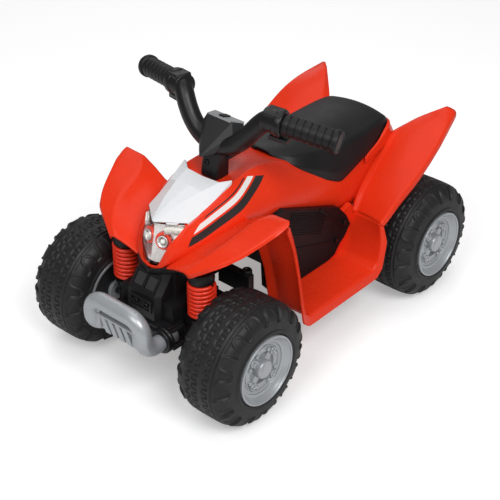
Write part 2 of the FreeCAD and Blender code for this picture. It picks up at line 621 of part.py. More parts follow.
def make_wheels():
    """Tyres, rims and hub caps, the outer face of each rim facing away from the bike."""
    rise = WHEEL_RADIUS - RIM_RADIUS
    outer = [(u * TYRE_HALF, RIM_RADIUS + r * rise) for u, r in TYRE_PROFILE_SHARES]
    inner_rise = rise - TYRE_WALL
    inner_half = TYRE_HALF - TYRE_WALL
    inner = [(u * inner_half, RIM_RADIUS + r * inner_rise) for u, r in reversed(TYRE_PROFILE_SHARES)]
    bead = RIM_RADIUS + SEAM
    profile = [(-TYRE_HALF, bead)] + outer + [(TYRE_HALF, bead)]
    profile += [(inner_half, bead)] + inner + [(-inner_half, bead)]
    tyre = turned(profile, Vector(0, 0, 0))
    groove_low = TREAD_GROOVE_OFFSET - TREAD_GROOVE_WIDTH / 2
    groove_high = TREAD_GROOVE_OFFSET + TREAD_GROOVE_WIDTH / 2
    groove_floor = WHEEL_RADIUS - TREAD_GROOVE_DEPTH
    groove_top = WHEEL_RADIUS + OVERRUN
    groove = [(groove_low, groove_floor), (groove_high, groove_floor),
              (groove_high, groove_top), (groove_low, groove_top)]
    cuts = [turned(groove, Vector(0, 0, 0))]
    shoulder = Vector(TREAD_SHARE * TYRE_HALF, 0, WHEEL_RADIUS)
    flank = Vector(TYRE_HALF, 0, RIM_RADIUS + rise / 2)
    slope = math.atan2(flank.x - shoulder.x, shoulder.z - flank.z)
    for side in (-1, 1):
        for lug in range(SHOULDER_LUGS):
            half = LUG_NOTCH_WIDTH / 2
            notch = block((0, OVERRUN), (-half, half), (-OVERRUN, 0))
            notch.rotate(Vector(0, 0, 0), REAR, -math.degrees(slope))
            middle = (shoulder + flank) * 0.5
            notch.translate(middle + Vector(-math.cos(slope), 0, -math.sin(slope)) * LUG_NOTCH_DEPTH)
            if side < 0:
                notch = mirrored(notch)
            notch.rotate(Vector(0, 0, 0), LEFT, 360 * (lug + (side + 1) / 4) / SHOULDER_LUGS)
            cuts.append(notch)
    tyre = tyre.cut(Part.makeCompound(cuts))
    lip = TYRE_HALF + RIM_LIP
    web = lip - DISH_DEPTH
    bore = AXLE_RADIUS + RUNNING_FIT
    well = RIM_RADIUS - RIM_WALL
    web_back = web - WEB_THICKNESS
    rim = turned([(-TYRE_HALF, RIM_RADIUS), (lip, RIM_RADIUS), (lip, well), (web, well - DISH_DRAFT),
                  (web, bore), (-TYRE_HALF, bore), (-TYRE_HALF, HUB_RADIUS), (web_back, HUB_RADIUS),
                  (web_back, well - RIM_WALL), (-TYRE_HALF, well)], Vector(0, 0, 0))
    bosses = []
    for number in range(RIM_BOSSES):
        angle = math.radians(360 * (number + 1 / 2) / RIM_BOSSES)
        spot = Vector(web, RIM_BOSS_CIRCLE * math.cos(angle), RIM_BOSS_CIRCLE * math.sin(angle))
        bosses.append(rod(spot, spot + LEFT * RIM_BOSS_HEIGHT, RIM_BOSS_RADIUS))
    rim = fused(rim, *bosses)
    cap_top = web + NUT_GAP + NUT_LENGTH + HUB_CAP_CLEARANCE + HUB_CAP_WALL
    cap_inner = HUB_CAP_RADIUS - HUB_CAP_WALL
    cap = turned([(web, cap_inner), (web, HUB_CAP_RADIUS), (cap_top - HUB_CAP_WALL, HUB_CAP_RADIUS),
                  (cap_top, cap_inner), (cap_top, 0), (cap_top - HUB_CAP_WALL, 0),
                  (cap_top - HUB_CAP_WALL, cap_inner)], Vector(0, 0, 0))
    for end, y, track in (("front", FRONT_AXLE_Y, FRONT_TRACK), ("rear", REAR_AXLE_Y, REAR_TRACK)):
        for hand, side in (("left", 1), ("right", -1)):
            centre = Vector(side * track / 2, y, AXLE_Z)
            save("tyre_%s_%s" % (end, hand), moved(tyre, centre))
            for name, piece in (("rim", rim), ("hub_cap", cap)):
                outward = piece if side > 0 else mirrored(piece)
                save("%s_%s_%s" % (name, end, hand), moved(outward, centre))
    return web


def axle_nut(tip, outward):
    """Hexagon nut on an axle, its inner face at the tip."""
    points = []
    for corner in range(NUT_SIDES + 1):
        angle = 2 * math.pi * corner / NUT_SIDES
        points.append(tip + Vector(0, NUT_RADIUS * math.cos(angle), NUT_RADIUS * math.sin(angle)))
    nut = Part.Face(Part.makePolygon(points)).extrude(outward * NUT_LENGTH)
    return nut.cut(rod(tip - outward * NUT_LENGTH, tip + outward * OVERRUN, AXLE_RADIUS))


def make_knuckles(web):
    """Kingpin, stub axle, nut and steering arm of each front wheel."""
    foot = Vector(KINGPIN_X, FRONT_AXLE_Y, KNUCKLE_LOW)
    head = Vector(KINGPIN_X, FRONT_AXLE_Y, LOWER_RING_LOW - LINK_GAP)
    hub = rod(foot, head, KNUCKLE_RADIUS)
    kingpin = rod(foot, Vector(KINGPIN_X, FRONT_AXLE_Y, KINGPIN_TOP), KINGPIN_RADIUS)
    axle_start = Vector(KINGPIN_X, FRONT_AXLE_Y, AXLE_Z)
    hub_face = FRONT_TRACK / 2 + web + NUT_GAP
    axle_end = Vector(hub_face + NUT_LENGTH, FRONT_AXLE_Y, AXLE_Z)
    axle = rod(axle_start, axle_end, AXLE_RADIUS)
    arm_y = FRONT_AXLE_Y + ARM_LENGTH
    half = ARM_WIDTH / 2
    arm = block((KINGPIN_X - half, KINGPIN_X + half), (FRONT_AXLE_Y, arm_y), (ARM_LOW, ARM_HIGH))
    eye = rod(Vector(KINGPIN_X, arm_y, ARM_LOW), Vector(KINGPIN_X, arm_y, ARM_HIGH), half)
    pin_top = ARM_HIGH + LINK_GAP + TIE_THICKNESS + PIN_STAND
    pin = rod(Vector(KINGPIN_X, arm_y, ARM_LOW), Vector(KINGPIN_X, arm_y, pin_top), ARM_PIN_RADIUS)
    save_pair("knuckle", fused(hub, kingpin, axle, arm, eye, pin))
    save_pair("front_axle_nut", axle_nut(Vector(hub_face, FRONT_AXLE_Y, AXLE_Z), LEFT))


def make_shocks():
    """Sleeve round each kingpin between the chassis rings, with its coil spring."""
    low = Vector(KINGPIN_X, FRONT_AXLE_Y, LOWER_RING_HIGH)
    high = Vector(KINGPIN_X, FRONT_AXLE_Y, UPPER_RING_LOW)
    sleeve = rod(low, high, SHOCK_TUBE_RADIUS).cut(rod(low, high, KINGPIN_RADIUS + RUNNING_FIT))
    spring = coil_spring(low, UPPER_RING_LOW - LOWER_RING_HIGH)
    save("shock_tubes", sleeve, mirrored(sleeve))
    save("shock_springs", spring, mirrored(spring))


def slot(spot, radius, forward, rearward):
    """Upright slot cutter along Y."""
    low = spot - UP * OVERRUN
    high = spot + UP * OVERRUN
    front = Vector(0, -forward, 0)
    back = Vector(0, rearward, 0)
    box = block((spot.x - radius, spot.x + radius), (spot.y - forward, spot.y + rearward), (low.z, high.z))
    return fused(box, rod(low + front, high + front, radius), rod(low + back, high + back, radius))


def make_tie_rod():
    """Bar that joins the column's crank to both steering arms."""
    y = FRONT_AXLE_Y + ARM_LENGTH
    low = ARM_HIGH + LINK_GAP
    span = (low, low + TIE_THICKNESS)
    eyes = []
    slots = []
    for x, travel in ((-KINGPIN_X, PIN_SLOT_TRAVEL), (0, CRANK_SLOT_TRAVEL), (KINGPIN_X, PIN_SLOT_TRAVEL)):
        spot = Vector(x, y, low)
        reach = ARM_PIN_RADIUS + PIN_SIDE_PLAY
        eyes.append(block((x - TIE_EYE_RADIUS, x + TIE_EYE_RADIUS),
                          (y - travel - TIE_EYE_RADIUS, y + TIE_EYE_RADIUS), span))
        slots.append(slot(spot, reach, travel, PIN_SIDE_PLAY * 3))
    bar = block((-KINGPIN_X, KINGPIN_X), (y - TIE_WIDTH / 2, y + TIE_WIDTH / 2), span)
    save("tie_rod", largest(fused(bar, *eyes).cut(Part.makeCompound(slots))))


def make_column():
    """Raked shaft with a crank and its pin at the foot."""
    shaft = rod(column_point(COLUMN_LOW), column_point(COLUMN_HIGH), COLUMN_RADIUS)
    middle = column_point(COLUMN_LOW + CRANK_THICKNESS / 2)
    end = middle + CRANK_REAR * CRANK_LENGTH
    half = COLUMN_AXIS * (CRANK_THICKNESS / 2)
    arm = framed(block((0, CRANK_LENGTH), (-CRANK_WIDTH / 2, CRANK_WIDTH / 2),
                       (-CRANK_THICKNESS / 2, CRANK_THICKNESS / 2)), middle, CRANK_REAR, COLUMN_AXIS)
    eyes = [rod(spot - half, spot + half, CRANK_WIDTH / 2) for spot in (middle, end)]
    pin_length = (end.z - ARM_HIGH) / math.cos(RAKE)
    pin = rod(end, end - COLUMN_AXIS * pin_length, ARM_PIN_RADIUS)
    save("steering_column", fused(shaft, arm, *eyes, pin))
    bush_middle = column_point(BUSH_HEIGHT)
    half_bush = COLUMN_AXIS * (BUSH_LENGTH / 2)
    bush = rod(bush_middle - half_bush, bush_middle + half_bush, BUSH_RADIUS)
    bore = rod(column_point(COLUMN_LOW), column_point(COLUMN_HIGH), COLUMN_RADIUS + RUNNING_FIT)
    save("steering_bush", bush.cut(bore))


def bar_points():
    """Corners of the bar's path, whose straight end is as long as its collar and grip."""
    left = [steering_place(share) for share in BAR_POINT_SHARES]
    ahead = Vector(*BAR_END_SHARES).normalize()
    bend_end = arc_corner(left[-2], left[-1], left[-1] + ahead, BAR_BEND_RADIUS)[2]
    left.append(bend_end + ahead * (COLLAR_CLEARANCE + COLLAR_LENGTH + SEAM + GRIP_LENGTH))
    right = [Vector(-point.x, point.y, point.z) for point in reversed(left[1:])]
    return right + left


def make_bars():
    """Handlebar, grips, switch collars, thumb levers, steering post and dash."""
    points = bar_points()
    bar = bent_tube(points, BAR_BEND_RADIUS, BAR_RADIUS)
    bar_room = bent_tube(points, BAR_BEND_RADIUS, BAR_RADIUS + SEAM)
    save("handlebar", bar)
    tip = points[-1]
    along = (tip - points[-2]).normalize()
    bore = BAR_RADIUS + RUNNING_FIT
    grip_profile = [(0, bore), (0, GRIP_RADIUS)]
    rib_pitch = (GRIP_LENGTH - GRIP_FLANGE) / GRIP_RIBS
    for rib in range(GRIP_RIBS):
        start = rib * rib_pitch
        crest = GRIP_RADIUS + GRIP_RIB_HEIGHT
        grip_profile += [(start + rib_pitch / 4, GRIP_RADIUS), (start + rib_pitch / 2, crest),
                         (start + rib_pitch * 3 / 4, crest), (start + rib_pitch, GRIP_RADIUS)]
    closed = GRIP_LENGTH + GRIP_FLANGE
    grip_profile += [(GRIP_LENGTH - GRIP_FLANGE, GRIP_FLANGE_RADIUS), (GRIP_LENGTH, GRIP_FLANGE_RADIUS),
                     (closed, GRIP_RADIUS), (closed, 0), (GRIP_LENGTH + SEAM, 0), (GRIP_LENGTH + SEAM, bore)]
    grip = turned(grip_profile, Vector(0, 0, 0))
    save_pair("grip", framed(grip, tip - along * GRIP_LENGTH, along, UP))
    half = COLLAR_LENGTH / 2
    collar = rod(Vector(-half, 0, 0), Vector(half, 0, 0), COLLAR_RADIUS)
    pad = block((-half, half), (-COLLAR_PAD_WIDTH / 2, COLLAR_PAD_WIDTH / 2), (-COLLAR_PAD_DROP, 0))
    box = block((-half, half), (-COLLAR_BOX_WIDTH / 2, COLLAR_BOX_WIDTH / 2), (0, COLLAR_BOX_RISE))
    bar_bore = rod(Vector(-OVERRUN, 0, 0), Vector(OVERRUN, 0, 0), bore)
    pin_foot = Vector(0, 0, -COLLAR_PAD_DROP - SEAM)
    pin_top = pin_foot + UP * LEVER_PIN_LENGTH
    pin_hole = rod(pin_foot, pin_top + UP * SEAM, LEVER_PIN_RADIUS + RUNNING_FIT)
    collar = fused(collar, pad, box).cut(Part.makeCompound([bar_bore, pin_hole]))
    edge = LEVER_WIDTH / 2
    lever_plate = block((-edge, LEVER_LENGTH - edge), (-edge, edge), (pin_foot.z - LEVER_THICKNESS, pin_foot.z))
    lever = fused(lever_plate, rod(pin_foot - UP * LEVER_THICKNESS, pin_top, LEVER_PIN_RADIUS))
    collar_spot = tip - along * (GRIP_LENGTH + half + SEAM)
    save_pair("switch_collar", framed(collar, collar_spot, along, UP))
    lever = framed(lever, collar_spot, along, UP)
    save("horn_lever", lever)
    save("throttle_lever", mirrored(lever))
    make_post(points[len(points) // 2])
    make_dash(bar_room)
    upward = (UP - along * UP.dot(along)).normalize()
    print("lever pivot", collar_spot + upward * pin_foot.z, "axis", upward)


def make_post(bar_middle):
    """Tapered cover round the column, with a round seat for the bars."""
    wires = []
    for height, half_width, half_depth in ((POST_LOW, POST_LOW_HALF_WIDTH, POST_LOW_HALF_DEPTH),
                                           (POST_HIGH, POST_HIGH_HALF_WIDTH, POST_HIGH_HALF_DEPTH)):
        across = LEFT * half_width
        along = CRANK_REAR * half_depth
        middle = column_point(height)
        corners = [middle - across - along, middle + across - along,
                   middle + across + along, middle - across + along]
        wires.append(Part.makePolygon(corners + corners[:1]))
    post = Part.makeLoft(wires, True, True)
    bore_end = column_point(COLUMN_HIGH) + COLUMN_AXIS * OVERRUN
    bore = rod(column_point(COLUMN_LOW), bore_end, COLUMN_RADIUS + RUNNING_FIT)
    front = column_point((POST_LOW + POST_HIGH) / 2) - CRANK_REAR * POST_LOW_HALF_DEPTH
    screw = rod(front - CRANK_REAR * OVERRUN, front + CRANK_REAR * POST_SCREW_DEPTH, POST_SCREW_RADIUS)
    seat = rod(bar_middle - LEFT * OVERRUN, bar_middle + LEFT * OVERRUN, BAR_RADIUS + SEAM)
    save("steering_post", largest(post.cut(Part.makeCompound([bore, seat, screw]))))


def make_dash(bar_room):
    """Faceted dash cover, its switch plate and the rocker in it."""
    cover = panel(net_points(DASH_SHARES, steering_place), PANEL_WALL)
    save("dash_cover", largest(cover.cut(bar_room)))
    corners = [steering_place(share) for share in DASH_PANEL_SHARES]
    middle = sum(corners[1:], corners[0]) * (1 / len(corners))
    upward = (corners[1] - corners[0]).cross(corners[2] - corners[1]).normalize()
    plate = Part.Face(Part.makePolygon(corners + corners[:1])).extrude(upward * -PANEL_WALL)
    half = ROCKER_LENGTH / 2
    side = ROCKER_WIDTH / 2
    room = block((-side - SEAM, side + SEAM), (-half - ROCKER_PLAY, half + ROCKER_PLAY), (-OVERRUN, OVERRUN))
    pin_ends = Vector(side + PANEL_WALL / 2, 0, 0)
    pin_drop = Vector(0, 0, -PANEL_WALL / 2)
    pin_hole = rod(pin_drop - pin_ends - LEFT * SEAM, pin_drop + pin_ends + LEFT * SEAM,
                   ROCKER_PIN_RADIUS - RUNNING_FIT)
    rocker = block((-side, side), (-half, half), (-PANEL_WALL, ROCKER_HEIGHT - PANEL_WALL))
    rocker = fused(rocker, rod(pin_drop - pin_ends, pin_drop + pin_ends, ROCKER_PIN_RADIUS - 2 * RUNNING_FIT))
    cuts = [framed(room, middle, LEFT, upward), framed(pin_hole, middle, LEFT, upward)]
    save("dash_panel", largest(plate.cut(Part.makeCompound(cuts))))
    save("direction_rocker", framed(rocker, middle, LEFT, upward))
    print("rocker pivot", middle + upward * pin_drop.z)


def make_chassis(pinion_spot):
    """Black moulded frame: nose block, tower, backbone, outriggers and battery tray."""
    def hollow(x_range, y_range, z_range, open_low=0.0, open_high=0.0):
        outer = block(x_range, y_range, z_range)
        wall = CHASSIS_WALL
        inner = block((x_range[0] + wall, x_range[1] - wall), (y_range[0] + wall, y_range[1] - wall),
                      (z_range[0] + wall - open_low, z_range[1] - wall + open_high))
        return outer.cut(inner)

    pieces = [
        hollow((-BLOCK_HALF_WIDTH, BLOCK_HALF_WIDTH), (BLOCK_FRONT, BLOCK_REAR), (BLOCK_LOW, BLOCK_HIGH),
               open_low=OVERRUN),
        hollow((-TOWER_HALF_WIDTH, TOWER_HALF_WIDTH), (TOWER_FRONT, TOWER_REAR),
               (BLOCK_HIGH, UPPER_RING_HIGH), open_low=OVERRUN),
        hollow((-BACKBONE_HALF_WIDTH, BACKBONE_HALF_WIDTH), (TOWER_REAR, TRAY_FRONT + CHASSIS_WALL),
               (BACKBONE_LOW, BACKBONE_HIGH), open_low=OVERRUN),
        block((-BACKBONE_HALF_WIDTH, BACKBONE_HALF_WIDTH), (TRAY_FRONT, TRAY_FRONT + CHASSIS_WALL),
              (TRAY_LOW, BACKBONE_HIGH)),
        hollow((-TRAY_HALF_WIDTH, TRAY_HALF_WIDTH), (TRAY_FRONT, TRAY_REAR), (TRAY_LOW, TRAY_HIGH),
               open_high=OVERRUN),
        block((-BODY_POST_HALF_WIDTH, BODY_POST_HALF_WIDTH),
              (BODY_POST_FRONT, BODY_POST_FRONT + BODY_POST_LENGTH), (TRAY_LOW, post_top())),
    ]
    boss_middle = column_point(BUSH_HEIGHT)
    half_bush = COLUMN_AXIS * (BUSH_LENGTH / 2)
    pieces.append(rod(boss_middle - half_bush, boss_middle + half_bush, BUSH_RADIUS + CHASSIS_WALL))
    for side in (-1, 1):
        x = side * KINGPIN_X
        for low, high in ((LOWER_RING_LOW, LOWER_RING_HIGH), (UPPER_RING_LOW, UPPER_RING_HIGH)):
            arm = sorted((side * (TOWER_HALF_WIDTH - CHASSIS_WALL), x))
            arm_front = FRONT_AXLE_Y - TOWER_ARM_HALF
            pieces.append(block(arm, (arm_front, FRONT_AXLE_Y + TOWER_ARM_HALF), (low, high)))
            pieces.append(rod(Vector(x, FRONT_AXLE_Y, low), Vector(x, FRONT_AXLE_Y, high), RING_RADIUS))
        reach = sorted((side * (BACKBONE_HALF_WIDTH - CHASSIS_WALL), side * OUTRIGGER_REACH))
        pieces.append(block(reach, (OUTRIGGER_FRONT, OUTRIGGER_FRONT + OUTRIGGER_LENGTH),
                            (OUTRIGGER_LOW, OUTRIGGER_HIGH)))
        for share in FOOT_BAR_SHARES:
            end = FOOT_BAR_REACH_SHARE * BODY_HALF_WIDTH
            bar = sorted((side * (TRAY_HALF_WIDTH - CHASSIS_WALL), side * end))
            y = along_bike(share)
            pieces.append(block(bar, (y - FOOT_BAR_WIDTH / 2, y + FOOT_BAR_WIDTH / 2),
                                (floor_under() - FOOT_BAR_HEIGHT, floor_under())))
    frame = fused(pieces[0], *pieces[1:])
    holes = [rod(boss_middle - half_bush * 2, boss_middle + half_bush * 2, BUSH_RADIUS + RUNNING_FIT)]
    for side in (-1, 1):
        foot = Vector(side * KINGPIN_X, FRONT_AXLE_Y, LOWER_RING_LOW - LINK_GAP)
        holes.append(rod(foot, foot + UP * KINGPIN_TOP, KINGPIN_RADIUS + RUNNING_FIT))
    axle_reach = Vector(TRAY_HALF_WIDTH + OVERRUN, 0, 0)
    axle_middle = Vector(0, REAR_AXLE_Y, AXLE_Z)
    holes.append(rod(axle_middle - axle_reach, axle_middle + axle_reach, AXLE_RADIUS + RUNNING_FIT))
    holes.append(rod(pinion_spot - LEFT * OVERRUN, pinion_spot + LEFT * OVERRUN, MOTOR_RADIUS + SEAM))
    socket = Vector(SOCKET_X, TRAY_REAR, SOCKET_Z)
    holes.append(rod(socket - REAR * OVERRUN, socket + REAR * OVERRUN, SOCKET_RADIUS + RUNNING_FIT))
    save("chassis_frame", largest(frame.cut(Part.makeCompound(holes))))


def post_top():
    """Height of the post that carries the body: just under the roof of the body there."""
    return place((0, 0, BODY_SECTION_SHARES[9][1][-1][1])).z - PANEL_WALL - 2 * SEAM


def floor_under():
    """Height of the underside of the footboards."""
    return place((0, 0, FOOTWELL_SHARES[4][0][2])).z - PANEL_WALL - SEAM


def gear(teeth, width, centre, phase):
    """Straight toothed gear about X with flat flanks and backlash."""
    pitch_radius = GEAR_MODULE * teeth / 2
    tip = pitch_radius + GEAR_MODULE * 0.9
    root = pitch_radius - GEAR_MODULE * 1.2
    tooth = math.pi / teeth
    points = []
    for number in range(teeth):
        middle = phase + 2 * math.pi * number / teeth
        for radius, half_share in ((root, -0.75), (tip, -0.3), (tip, 0.3), (root, 0.75)):
            angle = middle + tooth * half_share * (1 - GEAR_BACKLASH_SHARE)
            points.append(Vector(0, radius * math.cos(angle), radius * math.sin(angle)))
    wheel = Part.Face(Part.makePolygon(points + points[:1])).extrude(LEFT * width)
    return moved(wheel, centre)


def make_drive(web):
    """Rear axle and nuts, wheel gear, pinion, motor and gear case."""
    hub_face = REAR_TRACK / 2 + web + NUT_GAP
    end = Vector(hub_face + NUT_LENGTH, REAR_AXLE_Y, AXLE_Z)
    start = Vector(-end.x, end.y, end.z)
    save("rear_axle", rod(start, end, AXLE_RADIUS))
    nut = axle_nut(Vector(hub_face, REAR_AXLE_Y, AXLE_Z), LEFT)
    save("rear_axle_nuts", nut, mirrored(nut))
    hub_inner = REAR_TRACK / 2 - TYRE_HALF
    case_outer = hub_inner - GEAR_BOX_TYRE_GAP
    case_inner = TRAY_HALF_WIDTH + SEAM
    gear_outer = case_outer - GEAR_BOX_WALL - GEAR_BOX_GAP
    axle = Vector(gear_outer - GEAR_WIDTH, REAR_AXLE_Y, AXLE_Z)
    bore = AXLE_RADIUS + RUNNING_FIT
    wheel_gear = gear(WHEEL_GEAR_TEETH, GEAR_WIDTH, axle, math.radians(PINION_ANGLE))
    hub = rod(axle, Vector(hub_inner, REAR_AXLE_Y, AXLE_Z), GEAR_HUB_RADIUS)
    wheel_gear = fused(wheel_gear, hub).cut(rod(axle - LEFT * OVERRUN, axle + LEFT * OVERRUN, bore))
    save("wheel_gear", wheel_gear)
    distance = GEAR_MODULE * (PINION_TEETH + WHEEL_GEAR_TEETH) / 2
    angle = math.radians(PINION_ANGLE)
    pinion_spot = axle + Vector(0, distance * math.cos(angle), distance * math.sin(angle))
    half_tooth = math.pi / PINION_TEETH
    pinion = gear(PINION_TEETH, GEAR_WIDTH, pinion_spot, angle + math.pi + half_tooth)
    shaft_end = Vector(case_inner - MOTOR_SHAFT_LENGTH, pinion_spot.y, pinion_spot.z)
    save("motor_pinion", fused(pinion, rod(shaft_end, pinion_spot + LEFT, MOTOR_SHAFT_RADIUS)))
    motor_end = Vector(case_inner, pinion_spot.y, pinion_spot.z)
    motor = rod(motor_end - LEFT * MOTOR_LENGTH, motor_end, MOTOR_RADIUS)
    shaft_hole = rod(shaft_end - LEFT * SEAM, motor_end, MOTOR_SHAFT_RADIUS + RUNNING_FIT)
    save("drive_motor", motor.cut(shaft_hole))
    make_gear_case(case_inner, case_outer, axle, pinion_spot)
    return motor_end


def make_gear_case(case_inner, case_outer, axle, pinion_spot):
    """Closed case round both gears, open only at the axle and the motor."""
    room = GEAR_MODULE + GEAR_BOX_GAP
    gear_radius = GEAR_MODULE * WHEEL_GEAR_TEETH / 2 + room
    pinion_radius = GEAR_MODULE * PINION_TEETH / 2 + room
    inner_face = case_inner + GEAR_BOX_WALL
    outer_face = case_outer - GEAR_BOX_WALL

    def lobes(x_low, x_high, grow):
        solids = []
        for spot, radius in ((axle, gear_radius), (pinion_spot, pinion_radius)):
            solids.append(rod(Vector(x_low, spot.y, spot.z), Vector(x_high, spot.y, spot.z), radius + grow))
        return fused(*solids)

    case = lobes(case_inner, case_outer, GEAR_BOX_WALL).cut(lobes(inner_face, outer_face, 0.0))
    holes = [
        rod(axle, Vector(case_outer + OVERRUN, axle.y, axle.z), GEAR_HUB_RADIUS + SEAM),
        rod(Vector(case_inner - OVERRUN, axle.y, axle.z), axle, AXLE_RADIUS + RUNNING_FIT),
        rod(Vector(case_inner - OVERRUN, pinion_spot.y, pinion_spot.z), pinion_spot,
            MOTOR_SHAFT_RADIUS + SEAM),
    ]
    save("gear_case", largest(case.cut(Part.makeCompound(holes))))


def make_power():
    """Battery in its tray, the strap over it and the charging socket in the tail."""
    floor = TRAY_LOW + CHASSIS_WALL
    rear = BATTERY_FRONT + BATTERY_LENGTH
    half = BATTERY_WIDTH / 2
    save("battery", block((-half, half), (BATTERY_FRONT, rear), (floor, floor + BATTERY_HEIGHT)))
    middle = (BATTERY_FRONT + rear) / 2
    y_range = (middle - STRAP_WIDTH / 2, middle + STRAP_WIDTH / 2)
    strap = block((-half - STRAP_THICKNESS, half + STRAP_THICKNESS), y_range,
                  (floor, floor + BATTERY_HEIGHT + STRAP_THICKNESS))
    save("battery_strap", strap.cut(block((-half, half), y_range, (floor, floor + BATTERY_HEIGHT))))
    spot = Vector(SOCKET_X, TRAY_REAR, SOCKET_Z)
    barrel = rod(spot - REAR * (SOCKET_BORE_DEPTH + SOCKET_FLANGE), spot, SOCKET_RADIUS)
    flange = rod(spot, spot + REAR * SOCKET_FLANGE, SOCKET_FLANGE_RADIUS)
    mouth = spot + REAR * SOCKET_FLANGE
    bore = rod(mouth - REAR * SOCKET_BORE_DEPTH, mouth, SOCKET_BORE_RADIUS)
    save("charge_socket", fused(barrel, flange).cut(bore))


def spread(net, gap):
    """Net whose rim moves outwards, away from its middle, by a gap seen from the front."""
    points = [point for row in net for point in row]
    middle = sum(points[1:], points[0]) * (1 / len(points))
    result = []
    for row in net:
        new_row = []
        for point in row:
            away = Vector(point.x - middle.x, 0, point.z - middle.z)
            new_row.append(point + away * (gap / away.Length))
        result.append(new_row)
    return result


def shifted(net, offset):
    return [[point + offset for point in row] for row in net]


def make_lamp():
    """Clear lens, bright reflector and bulbs; gives the room that the body leaves for them."""
    net = net_points(LAMP_SHARES)
    lens_back = shifted(net, REAR * LENS_WALL)
    save("headlight_lens", between_nets(net, lens_back))
    reflector = shifted(net, REAR * LAMP_DEPTH)
    reflector_back = shifted(reflector, REAR * LENS_WALL)
    rim = between_nets(lens_back, reflector_back)
    middle = net[1][1] + REAR * LAMP_DEPTH
    matrix = FreeCAD.Matrix()
    matrix.move(middle * -1)
    matrix.scale(REFLECTOR_SCALE_SHARE, 1, REFLECTOR_SCALE_SHARE)
    matrix.move(middle)
    hollow = between_nets(shifted(net, -REAR * LENS_WALL), reflector).transformGeometry(matrix)
    save("headlight_reflector", largest(rim.cut(hollow)))
    bulbs = []
    edge = (BULB_SPACING / 2 + BULB_RADIUS) / net[1][2].x
    lens_y = net[1][1].y + (net[1][2].y - net[1][1].y) * edge
    for side in (-1, 1):
        spot = Vector(side * BULB_SPACING / 2, lens_y, middle.z)
        foot = spot + REAR * (LAMP_DEPTH + LENS_WALL / 2)
        bulbs.append(rod(spot + REAR * (LENS_WALL + BULB_GAP), foot, BULB_RADIUS))
    bulb_solids = [largest(bulb.cut(rim.cut(hollow))) for bulb in bulbs]
    save("headlight_bulbs", *bulb_solids)
    wide = spread(net, SEAM)
    return between_nets(shifted(wide, -REAR * OVERRUN), shifted(wide, REAR * (LAMP_DEPTH + LENS_WALL + SEAM)))


def make_body(lamp_room):
    """Red centre body, fenders and footwells, white cowl, black seat and side panels."""
    outer = section_solid(BODY_SECTION_SHARES, 0.0)
    cavity = section_solid(BODY_SECTION_SHARES, -PANEL_WALL, OVERRUN)
    room = section_solid(BODY_SECTION_SHARES, SEAM)
    column_room = rod(column_point(COLUMN_LOW), column_point(COLUMN_HIGH), COLUMN_HOLE_RADIUS)
    save("body_shell", largest(outer.cut(Part.makeCompound([cavity])).cut(column_room).cut(lamp_room)))
    lamp_and_body = room.fuse(lamp_room)
    fender = panel(net_points(FRONT_FENDER_SHARES), PANEL_WALL)
    save_pair("front_fender", largest(fender.cut(lamp_and_body)))
    rear_fender = panel(net_points(REAR_FENDER_SHARES), PANEL_WALL)
    save_pair("rear_fender", largest(rear_fender.cut(room)))
    make_footwell(room)
    cowl = panel(net_points(COWL_SHARES), PANEL_WALL)
    save("front_cowl", largest(cowl.cut(lamp_and_body)))
    seat = section_solid(SEAT_SECTION_SHARES, 0.0)
    seat_inside = section_solid(SEAT_SECTION_SHARES, -PANEL_WALL, OVERRUN)
    save("seat", largest(seat.cut(room).cut(seat_inside)))
    make_side_panels(room)


def side_outline(shares):
    """Closed outline in the middle plane from its shares along and up."""
    points = [place((0, y, z)) for y, z in shares]
    return Part.makePolygon(points + points[:1])


def make_footwell(room):
    """Leg guard, footboard and rear wall in one moulding, with a strip that closes it to the side panel."""
    tray = panel(net_points(FOOTWELL_SHARES, footwell_place), PANEL_WALL)
    inner_x = PANEL_OUTER_X - PANEL_RIM
    reach = PANEL_OUTER_X + FOOTWELL_GAP + SEAM - inner_x
    strip = moved(Part.Face(side_outline(FOOT_STRIP_SHARES)).extrude(LEFT * reach), LEFT * inner_x)
    panel_outline = side_outline(ENGINE_PANEL_SHARES).makeOffset2D(SEAM)
    panel_room = Part.Face(panel_outline).extrude(LEFT * (PANEL_OUTER_X + OVERRUN))
    strip = largest(strip.cut(panel_room).cut(room))
    save_pair("footwell", fused(tray, strip))


def make_side_panels(room):
    """Black vented panels below the tank, with their screws."""
    outline = side_outline(ENGINE_PANEL_SHARES)
    face = Part.Face(outline)
    inside = Part.Face(outline.makeOffset2D(-PANEL_RIM))
    prism = moved(face.extrude(LEFT * (PANEL_OUTER_X - PANEL_INNER_X)), LEFT * PANEL_INNER_X)
    hollow_length = PANEL_OUTER_X - PANEL_INNER_X - PANEL_RIM
    hollow = moved(inside.extrude(LEFT * (hollow_length + OVERRUN)), LEFT * (PANEL_INNER_X - OVERRUN))
    vents = []
    for number in range(PANEL_VENTS):
        y = PANEL_VENT_START + number * PANEL_VENT_PITCH
        vents.append(block((PANEL_OUTER_X - PANEL_VENT_DEPTH, PANEL_OUTER_X + OVERRUN),
                           (y, y + PANEL_VENT_WIDTH), (PANEL_VENT_LOW, PANEL_VENT_HIGH)))
    side_panel = largest(prism.cut(hollow).cut(Part.makeCompound(vents)).cut(room))
    save_pair("engine_panel", side_panel)
    screws = []
    for y_share, z_share in SCREW_PLACE_SHARES:
        spot = place((0, y_share, z_share)) + LEFT * PANEL_OUTER_X
        head = rod(spot, spot + LEFT * SCREW_HEAD, SCREW_HEAD_RADIUS)
        screws += [head, mirrored(head)]
    save("panel_screws", *screws)


